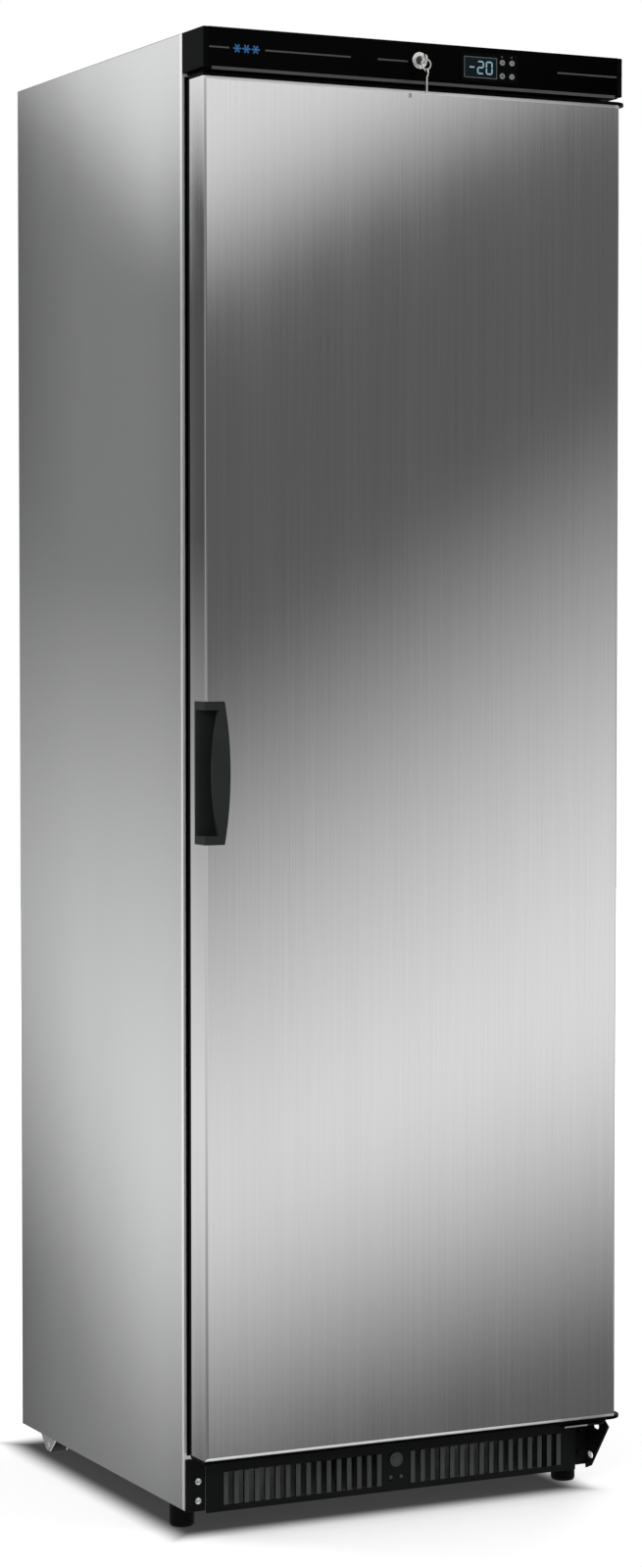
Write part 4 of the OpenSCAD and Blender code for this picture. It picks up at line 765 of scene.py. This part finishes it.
# Black strips put in the gap beside the door as painted shade
GAP_SHADE_WIDTH = 14.0 * MM
GAP_SHADE_THICKNESS = 0.4 * MM
GAP_SHADE_INSET = 3.2 * MM
GAP_SHADE_TOP_GAP = 1.2 * MM


def gap_shade_strips():
    """Painted shade: black strips on the cabinet's front edge that darken the gap beside the closed door.
    """
    low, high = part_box("top_panel")
    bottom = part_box("door_bottom_cap")[0].z
    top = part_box("fascia_housing")[0].z - GAP_SHADE_TOP_GAP
    front = low.y - GAP_SHADE_THICKNESS / 2
    from_edge = GAP_SHADE_INSET + GAP_SHADE_WIDTH / 2
    shape = bmesh.new()
    for x in (low.x + from_edge, high.x - from_edge):
        add_bar(shape, (x, front, (top + bottom) / 2), (GAP_SHADE_WIDTH, GAP_SHADE_THICKNESS, top - bottom))
    as_piece(shape, "gap_shade_strips", "cabinet", FASCIA_BLACK)


REAR_BAND_DEPTH = 5.0 * MM
REAR_BAND_THICKNESS = 0.15 * MM


def door_rear_bands():
    """The black edge of the door's inner frame, which wraps the rear of its sides."""
    low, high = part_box("door_skin")
    middle_y = high.y - REAR_BAND_DEPTH / 2
    middle_z = (low.z + high.z) / 2
    size = (REAR_BAND_THICKNESS, REAR_BAND_DEPTH, high.z - low.z)
    shape = bmesh.new()
    for x in (low.x - REAR_BAND_THICKNESS / 2, high.x + REAR_BAND_THICKNESS / 2):
        add_bar(shape, (x, middle_y, middle_z), size)
    as_piece(shape, "door_rear_bands", "door", FASCIA_BLACK)


ARM_GAP = 2.0 * MM
ARM_THICKNESS = 2.5 * MM
# The strip painted as a highlight on the arm's edge: its share of the length, its height and thickness
ARM_HIGHLIGHT_SHARE = 0.5
ARM_HIGHLIGHT_HEIGHT = 0.75 * ARM_THICKNESS
ARM_HIGHLIGHT_THICKNESS = 0.2 * MM


def hinge_arm_highlight():
    """A pale grey strip painted along the front edge of the lower hinge's arm as a highlight."""
    low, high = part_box("lower_hinge_bracket")
    arm_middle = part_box("door_bottom_cap")[0].z - ARM_GAP - ARM_THICKNESS / 2
    length = (high.x - low.x) * ARM_HIGHLIGHT_SHARE
    centre = (low.x + length / 2, low.y - ARM_HIGHLIGHT_THICKNESS / 2, arm_middle)
    shape = bmesh.new()
    add_bar(shape, centre, (length, ARM_HIGHLIGHT_THICKNESS, ARM_HIGHLIGHT_HEIGHT))
    as_piece(shape, "hinge_arm_highlight", "cabinet", ARM_HIGHLIGHT_FINISH)


# Fascia: printed line, painted highlight on the lip, sign of cold, display and buttons

PRINT_THICKNESS = 0.12 * MM
UPPER_LINE_HEIGHT = 2.0 * MM
UPPER_LINE_Z = 1855.2 * MM
# Left and right ends of the upper line's stretches, in mm from the cabinet's middle
LINE_SPANS = ((-298.0, -271.0), (-222.0, -104.0), (-66.0, -23.5), (193.0, 281.0))
LIP_HIGHLIGHT_INSET = 0.3 * MM
LIP_HIGHLIGHT_END_INSET = 4.0 * MM


def fascia_upper_line():
    """The thin line over the fascia, with room for the sign of cold, the lock and the controller."""
    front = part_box("fascia_panel")[0].y - PRINT_THICKNESS / 2
    shape = bmesh.new()
    for left, right in LINE_SPANS:
        centre = ((left + right) / 2 * MM, front, UPPER_LINE_Z)
        add_bar(shape, centre, ((right - left) * MM, PRINT_THICKNESS, UPPER_LINE_HEIGHT))
    as_piece(shape, "fascia_upper_line", "cabinet", PRINT_AND_HIGHLIGHT_GREY)


def fascia_lip_highlight():
    """A painted highlight along the fascia's lower lip: a grey band where its chamfered edge catches the
    light.
    """
    low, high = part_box("fascia_housing")
    lip_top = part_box("fascia_panel")[0].z
    centre = ((low.x + high.x) / 2, low.y - PRINT_THICKNESS, (low.z + lip_top) / 2)
    width = high.x - low.x - 2 * LIP_HIGHLIGHT_END_INSET
    shape = bmesh.new()
    add_bar(shape, centre, (width, 2 * PRINT_THICKNESS, lip_top - low.z - 2 * LIP_HIGHLIGHT_INSET))
    as_piece(shape, "fascia_lip_highlight", "cabinet", PRINT_AND_HIGHLIGHT_GREY)


CRYSTALS = 3
CRYSTAL_SIZE = 11.0 * MM
CRYSTAL_PITCH = 12.5 * MM
CRYSTAL_ARM = 1.1 * MM
BARB_PLACE = 0.33 * CRYSTAL_SIZE
BARB_LENGTH = 0.22 * CRYSTAL_SIZE
BARB_WIDTH = 0.8 * CRYSTAL_ARM
MARK_X = -247.5 * MM


def ice_crystal(shape, middle):
    """A six-armed ice crystal with barbs."""
    for arm in range(3):
        add_bar(shape, middle, (CRYSTAL_SIZE, PRINT_THICKNESS, CRYSTAL_ARM), arm * math.pi / 3)
    for arm in range(6):
        turn = arm * math.pi / 3
        place = middle + Vector((math.cos(turn), 0, -math.sin(turn))) * BARB_PLACE
        for barb_turn in (turn - math.pi / 3, turn + math.pi / 3):
            add_bar(shape, place, (BARB_LENGTH, PRINT_THICKNESS, BARB_WIDTH), barb_turn)


def cold_mark():
    """Three plain ice crystals, the common sign for a cold cabinet."""
    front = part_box("fascia_panel")[0].y - PRINT_THICKNESS / 2
    shape = bmesh.new()
    for number in range(CRYSTALS):
        x = MARK_X + (number - (CRYSTALS - 1) / 2) * CRYSTAL_PITCH
        ice_crystal(shape, Vector((x, front, UPPER_LINE_Z)))
    as_piece(shape, "cold_mark", "cabinet", PRINT_BLUE)


READING = "-20"
DIGIT_HEIGHT = 15.0 * MM
DIGIT_WIDTH = 8.0 * MM
DIGIT_PITCH = 12.5 * MM
SEGMENT_WIDTH = 1.9 * MM
SEGMENT_GAP = 0.6 * SEGMENT_WIDTH
# The lit segments of each figure, then each segment's place in half widths and half heights of a
# figure, and whether it is upright
SEGMENTS_OF = {"-": "g", "0": "abcdef", "2": "abged"}
SEGMENT_PLACES = {
    "a": (0, 1, False), "g": (0, 0, False), "d": (0, -1, False),
    "f": (-1, 0.5, True), "b": (1, 0.5, True), "e": (-1, -0.5, True), "c": (1, -0.5, True),
}


def display_reading():
    """The lit figures of the display."""
    low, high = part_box("display_window")
    middle = (low + high) / 2
    front = low.y - PRINT_THICKNESS / 2
    shape = bmesh.new()
    for place, figure in enumerate(READING):
        x = middle.x + (place - (len(READING) - 1) / 2) * DIGIT_PITCH
        for name in SEGMENTS_OF[figure]:
            across, up, upright = SEGMENT_PLACES[name]
            centre = (x + across * DIGIT_WIDTH / 2, front, middle.z + up * DIGIT_HEIGHT / 2)
            length = (DIGIT_HEIGHT / 2 if upright else DIGIT_WIDTH) - SEGMENT_GAP
            turn = math.pi / 2 if upright else 0.0
            add_bar(shape, centre, (length, PRINT_THICKNESS, SEGMENT_WIDTH), turn)
    as_piece(shape, "display_reading", "cabinet", LIT_SEGMENT)


WINDOW_EDGE = 1.1 * MM


def window_frame():
    """The fine grey frame around the display window."""
    low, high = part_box("display_window")
    middle = (low + high) / 2
    front = low.y - PRINT_THICKNESS / 2
    width = high.x - low.x
    height = high.z - low.z - 2 * WINDOW_EDGE
    shape = bmesh.new()
    for z in (low.z + WINDOW_EDGE / 2, high.z - WINDOW_EDGE / 2):
        add_bar(shape, (middle.x, front, z), (width, PRINT_THICKNESS, WINDOW_EDGE))
    for x in (low.x + WINDOW_EDGE / 2, high.x - WINDOW_EDGE / 2):
        add_bar(shape, (x, front, middle.z), (WINDOW_EDGE, PRINT_THICKNESS, height))
    as_piece(shape, "window_frame", "cabinet", WINDOW_GREY)


SIGN_RADIUS = 1.7 * MM
# Sides and turn of the sign on each button: square, up, round and down
BUTTON_SIGNS = {
    "button_1": (4, 0.0), "button_2": (3, 0.0), "button_3": (ROUND_SIDES, 0.0),
    "button_4": (3, math.pi),
}


def button_signs():
    """A plain raised sign on each button."""
    for node, (sides, turn) in BUTTON_SIGNS.items():
        low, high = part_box(node)
        centre = ((low.x + high.x) / 2, low.y - PRINT_THICKNESS / 2, (low.z + high.z) / 2)
        shape = bmesh.new()
        add_disc(shape, centre, SIGN_RADIUS, SIGN_RADIUS, PRINT_THICKNESS, sides, turn)
        as_piece(shape, node + "_sign", node, BUTTON_PRINT)


INDICATOR_RADIUS = 1.2 * MM
INDICATOR_FLATNESS = 0.35
INDICATOR_DROP = 2.6 * MM


def indicator_lamps():
    """Two small unlit lamps over the buttons."""
    controller_low, controller_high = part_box("controller")
    shape = bmesh.new()
    for node in ("button_1", "button_2"):
        low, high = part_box(node)
        centre = ((low.x + high.x) / 2, controller_low.y, controller_high.z - INDICATOR_DROP)
        lamp = bmesh.ops.create_uvsphere(
            shape, u_segments=16, v_segments=8, radius=INDICATOR_RADIUS,
        )["verts"]
        bmesh.ops.scale(shape, vec=(1, INDICATOR_FLATNESS, 1), verts=lamp)
        bmesh.ops.translate(shape, vec=centre, verts=lamp)
    as_piece(shape, "indicator_lamps", "cabinet", WINDOW_GREY)


dress_nodes()
grille_rib_highlights()
blackened_screws()
door_sides()
grille_clips()
gap_shade_strips()
door_rear_bands()
hinge_arm_highlight()
fascia_upper_line()
fascia_lip_highlight()
cold_mark()
display_reading()
window_frame()
button_signs()
indicator_lamps()


# Floor

# Half the floor's width in metres, and its tones in the open and in its painted shadow
FLOOR_HALF = 9.0
FLOOR_TONE = (0.8, 0.8, 0.8)
PAINTED_SHADOW_TONE = (0.03, 0.03, 0.03)
# The painted shadow: how far outside the casing's footprint its soft edge begins and ends, and how far its
# right side is drawn in
PAINTED_SHADOW_CORE = -0.012
PAINTED_SHADOW_END = 0.042
PAINTED_SHADOW_RIGHT_INSET = 0.0335
# The glow of the seen floor in the painted shadow, near the cabinet and far from it, and what near and far
# mean in metres from its middle
SHADOW_LIFT = 0.04
NEAR_LIFT = 0.38
FAR_LIFT = 1.0
NEAR_DISTANCE = 1.0
FAR_DISTANCE = 3.5


def free_of_painted_shadow(tree):
    """From 0 under the cabinet to 1 where the floor is free of the shadow painted from the casing's
    footprint.
    """
    low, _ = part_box("left_side_panel")
    _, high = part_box("right_side_panel")
    place = split_axes(tree, object_place(tree))
    past_edges = []
    for axis, start, end in (("X", low.x, high.x - PAINTED_SHADOW_RIGHT_INSET), ("Y", low.y, high.y)):
        from_middle = arithmetic(tree, "SUBTRACT", place.outputs[axis], (start + end) / 2)
        from_middle = arithmetic(tree, "ABSOLUTE", from_middle)
        past_edges.append(arithmetic(tree, "SUBTRACT", from_middle, (end - start) / 2))
    past = arithmetic(tree, "MAXIMUM", *past_edges)
    return remap(tree, past, PAINTED_SHADOW_CORE, PAINTED_SHADOW_END, 0, 1, smooth=True)


def floor_lift(tree, free):
    """How strongly the seen floor glows; far away it is as white as the background."""
    distance = tree.nodes.new("ShaderNodeVectorMath")
    distance.operation = "LENGTH"
    tree.links.new(object_place(tree), distance.inputs[0])
    lift = remap(
        tree, distance.outputs["Value"], NEAR_DISTANCE, FAR_DISTANCE, NEAR_LIFT, FAR_LIFT, smooth=True,
    )
    shadow_lift = multiply(tree, arithmetic(tree, "SUBTRACT", 1.0, free), SHADOW_LIFT)
    lift = arithmetic(tree, "ADD", multiply(tree, free, lift), shadow_lift)
    return multiply(tree, add_node(tree, "LightPath").outputs["Is Camera Ray"], lift)


def floor_finish():
    """White paint with a soft shadow painted under the cabinet."""
    material = bpy.data.materials.new("studio floor")
    material.use_nodes = True
    tree = material.node_tree
    tree.nodes.clear()
    free = free_of_painted_shadow(tree)
    paint = add_node(tree, "BsdfDiffuse")
    tree.links.new(blend_colours(tree, free, PAINTED_SHADOW_TONE, FLOOR_TONE), paint.inputs["Color"])
    glow = add_node(tree, "Emission")
    tree.links.new(floor_lift(tree, free), glow.inputs["Strength"])
    both = add_node(tree, "AddShader")
    tree.links.new(paint.outputs[0], both.inputs[0])
    tree.links.new(glow.outputs[0], both.inputs[1])
    output = add_node(tree, "OutputMaterial")
    tree.links.new(both.outputs[0], output.inputs["Surface"])
    return material


def studio_floor():
    """A pale floor with a shadow painted under the cabinet, not mirrored in its metal."""
    shape = bmesh.new()
    bmesh.ops.create_grid(shape, x_segments=1, y_segments=1, size=FLOOR_HALF)
    mesh = bpy.data.meshes.new("studio_floor")
    shape.to_mesh(mesh)
    shape.free()
    mesh.materials.append(floor_finish())
    floor = bpy.data.objects.new("studio_floor", mesh)
    bpy.context.scene.collection.objects.link(floor)
    floor.visible_glossy = False


# The soft cards around the cabinet that its metal shows: a high one, a low one, the ground, and one
# that lights the left edge. Heights are sines over the horizon. A card edge has one span for the side
# that faces the door and one for the side behind it: where it begins, where it ends, and how much it
# climbs as it runs sideways.
UPPER_EDGE = {"front": (0.1, 0.17, 0.5), "rear": (0.092, 0.152, 1.3)}
LOWER_TOP_EDGE = {"front": (0.08, -0.14, 0.66), "rear": (0.09, -0.17, 0.0)}
LOWER_END_EDGE = {"front": (-0.245, -0.118, 0.38), "rear": (-0.26, -0.115, 2.4)}

# The line that the cards run along, the middle of their slope, how far they slope to each side, and
# the span of Y over which the front of the studio turns into its rear
CARD_LINE = Vector((0.902, 0.431, 0.0))
CARD_MIDDLE = 0.045
CARD_REACH = {"front": 0.08, "rear": 0.03}
REAR_TURN = (-0.3, 0.3)

# Brightness of the cards, and of the dark between them
UPPER_CARD = 0.96
ZENITH_LEVEL = 0.75
ZENITH_SPAN = (0.5, 0.9)
LOWER_CARD = {"front": 0.98, "rear": 0.9}
GROUND_LEVEL = 0.7
GROUND_SPAN = (-0.28, -0.5)
FRONT_DARK = 0.12
REAR_DARK = 0.19

# What the narrow side of the door shows: past this place the cards are bent and the dark is deeper
STRIP_START = -0.0195
STRIP_END = -0.0207
STRIP_DARK = 0.075
STRIP_BEND = 0.042
BEND_SHARES = ((1.0, UPPER_EDGE), (-0.5, LOWER_TOP_EDGE), (1.25, LOWER_END_EDGE))

# What the rear of the casing's side shows: everything fades
REAR_FADE_START = 0.015
REAR_FADE = 0.7

# The card that lights the left edge of the door
EDGE_SIDE = Vector((-0.9, -0.43, 0.0))
EDGE_SPAN = (0.9, 0.97)
EDGE_HEIGHTS = (0.3, 0.45)
EDGE_LEVEL = 0.55

# Far to the side of the cards' middle, a slow wave around the studio, for the metal's other faces
WIDE_SPAN = (0.1, 0.3)
WIDE_WAVES = 7.0
WIDE_LEVELS = (0.62, 1.0)


def dot_with(tree, direction, side):
    """How far a direction points to a side."""
    node = tree.nodes.new("ShaderNodeVectorMath")
    node.operation = "DOT_PRODUCT"
    node.inputs[1].default_value = side
    tree.links.new(direction, node.inputs[0])
    return node.outputs["Value"]


def mix_values(tree, share, first, second):
    """A number between two numbers."""
    change = multiply(tree, share, arithmetic(tree, "SUBTRACT", second, first))
    return arithmetic(tree, "ADD", first, change)


def card_runs(tree, sideways, near_middle):
    """How far the cards run sideways from their middle, for the front and for the rear."""
    runs = {}
    for part, reach in CARD_REACH.items():
        run = remap(tree, sideways, CARD_MIDDLE - reach, CARD_MIDDLE + reach, -reach, reach)
        runs[part] = multiply(tree, run, near_middle)
    return runs


def card_edge(tree, height, runs, behind, edge):
    """The soft edge of a card, from 0 to 1 over a span of heights; it climbs as it runs sideways."""
    shares = []
    for part in ("front", "rear"):
        start, end, climb = edge[part]
        level = arithmetic(tree, "SUBTRACT", height, multiply(tree, runs[part], climb))
        shares.append(remap(tree, level, start, end, 0, 1, smooth=True))
    return mix_values(tree, behind, *shares)


def card_shares(tree, height, runs, behind):
    """How much of the upper and of the lower card there is in a direction."""
    bend = remap(tree, runs["rear"], STRIP_START, STRIP_END, 0, STRIP_BEND)
    bend = multiply(tree, bend, behind)
    shares = []
    for bend_share, edge in BEND_SHARES:
        bent_height = arithmetic(tree, "SUBTRACT", height, multiply(tree, bend, bend_share))
        shares.append(card_edge(tree, bent_height, runs, behind, edge))
    upper, lower_top, lower_end = shares
    return upper, multiply(tree, lower_top, lower_end)


def dark_level(tree, runs, behind):
    """How bright it is between the cards."""
    side_dark = remap(tree, runs["rear"], REAR_FADE_START, CARD_REACH["rear"], REAR_DARK, 0)
    strip_dark = remap(tree, runs["rear"], STRIP_END, STRIP_START, STRIP_DARK, REAR_DARK)
    rear_dark = arithmetic(tree, "MINIMUM", side_dark, strip_dark)
    return mix_values(tree, behind, FRONT_DARK, rear_dark)


def edge_card(tree, direction, height):
    """How much of the card for the left edge there is in a direction."""
    share = remap(tree, dot_with(tree, direction, EDGE_SIDE), *EDGE_SPAN, 0, 1, smooth=True)
    off_level = arithmetic(tree, "ABSOLUTE", height)
    return multiply(tree, share, remap(tree, off_level, *EDGE_HEIGHTS, 1, 0, smooth=True))


def wide_wave(tree, axes):
    """The slow wave around the studio."""
    heading = arithmetic(tree, "ARCTAN2", axes.outputs["X"], axes.outputs["Y"])
    wave = arithmetic(tree, "SINE", multiply(tree, heading, WIDE_WAVES))
    return remap(tree, wave, -1, 1, *WIDE_LEVELS)


def card_brightness(tree):
    """How bright the studio is in each direction."""
    direction = add_node(tree, "TexCoord").outputs["Generated"]
    axes = split_axes(tree, direction)
    height = axes.outputs["Z"]
    behind = remap(tree, axes.outputs["Y"], *REAR_TURN, 0, 1)
    sideways = dot_with(tree, direction, CARD_LINE)
    off_middle = arithmetic(tree, "ABSOLUTE", arithmetic(tree, "SUBTRACT", sideways, CARD_MIDDLE))
    near_middle = remap(tree, off_middle, *WIDE_SPAN, 1, 0, smooth=True)
    runs = card_runs(tree, sideways, near_middle)
    upper, lower = card_shares(tree, height, runs, behind)
    brightness = dark_level(tree, runs, behind)
    for share, level in (
        (upper, remap(tree, height, *ZENITH_SPAN, UPPER_CARD, ZENITH_LEVEL)),
        (lower, mix_values(tree, behind, LOWER_CARD["front"], LOWER_CARD["rear"])),
        (remap(tree, height, *GROUND_SPAN, 0, 1, smooth=True), GROUND_LEVEL),
        (edge_card(tree, direction, height), EDGE_LEVEL),
    ):
        brightness = arithmetic(tree, "MAXIMUM", brightness, multiply(tree, share, level))
    rear_fade = remap(tree, runs["rear"], REAR_FADE_START, CARD_REACH["rear"], 1.0, REAR_FADE)
    brightness = multiply(tree, brightness, mix_values(tree, behind, 1.0, rear_fade))
    return multiply(tree, brightness, mix_values(tree, near_middle, wide_wave(tree, axes), 1.0))


AMBIENT = 0.4


def studio_world():
    """White behind the cabinet, plain light on it, and the soft cards that its metal shows."""
    world = bpy.data.worlds.new("studio")
    bpy.context.scene.world = world
    world.use_nodes = True
    tree = world.node_tree
    tree.nodes.clear()
    cards = add_node(tree, "Background", Color=(1, 1, 1, 1))
    tree.links.new(card_brightness(tree), cards.inputs["Strength"])
    plain = add_node(tree, "Background", Color=(1, 1, 1, 1), Strength=AMBIENT)
    white = add_node(tree, "Background", Color=(1, 1, 1, 1), Strength=1.0)
    rays = add_node(tree, "LightPath").outputs
    lit = add_node(tree, "MixShader")
    tree.links.new(rays["Is Glossy Ray"], lit.inputs[0])
    tree.links.new(plain.outputs[0], lit.inputs[1])
    tree.links.new(cards.outputs[0], lit.inputs[2])
    seen = arithmetic(tree, "MAXIMUM", rays["Is Camera Ray"], rays["Is Transmission Ray"])
    shown = add_node(tree, "MixShader")
    tree.links.new(seen, shown.inputs[0])
    tree.links.new(lit.outputs[0], shown.inputs[1])
    tree.links.new(white.outputs[0], shown.inputs[2])
    output = add_node(tree, "OutputWorld")
    tree.links.new(shown.outputs[0], output.inputs["Surface"])


# Lamps: place and size in metres, power in watts
OVERHEAD_HEIGHT = 4.2
OVERHEAD_SIZE = 3.0
OVERHEAD_POWER = 50.0
CORNER_REACH = 3.8
CORNER_HEIGHT = 2.3
CORNER_AIM = 0.9
CORNER_SIZE = 2.4
CORNER_POWER = 100.0
CORNER_LAMPS = {
    "front_left": (-1, -1), "front_right": (1, -1), "rear_left": (-1, 1), "rear_right": (1, 1),
}


def add_softbox(name, place, aim, size, power):
    """A square soft lamp that looks at a point and isn't mirrored as a shape."""
    lamp = bpy.data.lights.new(name, "AREA")
    lamp.shape = "SQUARE"
    lamp.size = size
    lamp.energy = power
    holder = bpy.data.objects.new(name, lamp)
    holder.location = place
    holder.rotation_euler = (Vector(aim) - Vector(place)).to_track_quat("-Z", "Y").to_euler()
    holder.visible_glossy = False
    bpy.context.scene.collection.objects.link(holder)


def studio_lamps():
    """One lamp overhead and four around, for even soft light from all sides."""
    add_softbox("overhead", (0, 0, OVERHEAD_HEIGHT), (0, 0, 0), OVERHEAD_SIZE, OVERHEAD_POWER)
    for name, (x, y) in CORNER_LAMPS.items():
        place = (x * CORNER_REACH, y * CORNER_REACH, CORNER_HEIGHT)
        add_softbox(name, place, (0, 0, CORNER_AIM), CORNER_SIZE, CORNER_POWER)


# Camera, as fitted to the photograph's edges: place in metres, dip and turn in radians, and a lens
# given by its focal length in the photograph's pixels
PHOTO_HEIGHT = 1600
FOCAL_PIXELS = 3683.1
SENSOR_WIDTH = 36.0
CAMERA_PLACE = Vector((-2.1443, -4.35325, 1.1553))
CAMERA_DIP = 0.0458
CAMERA_TURN = -0.4579


def photo_camera():
    """The camera where the photographer stood."""
    lens = bpy.data.cameras.new("photo_camera")
    lens.sensor_width = SENSOR_WIDTH
    lens.lens = FOCAL_PIXELS * SENSOR_WIDTH / PHOTO_HEIGHT
    camera = bpy.data.objects.new("photo_camera", lens)
    camera.location = CAMERA_PLACE
    camera.rotation_euler = (math.pi / 2 - CAMERA_DIP, 0, CAMERA_TURN)
    bpy.context.scene.collection.objects.link(camera)
    bpy.context.scene.camera = camera


studio_floor()
studio_world()
studio_lamps()
photo_camera()
bpy.context.scene.view_settings.view_transform = "Standard"
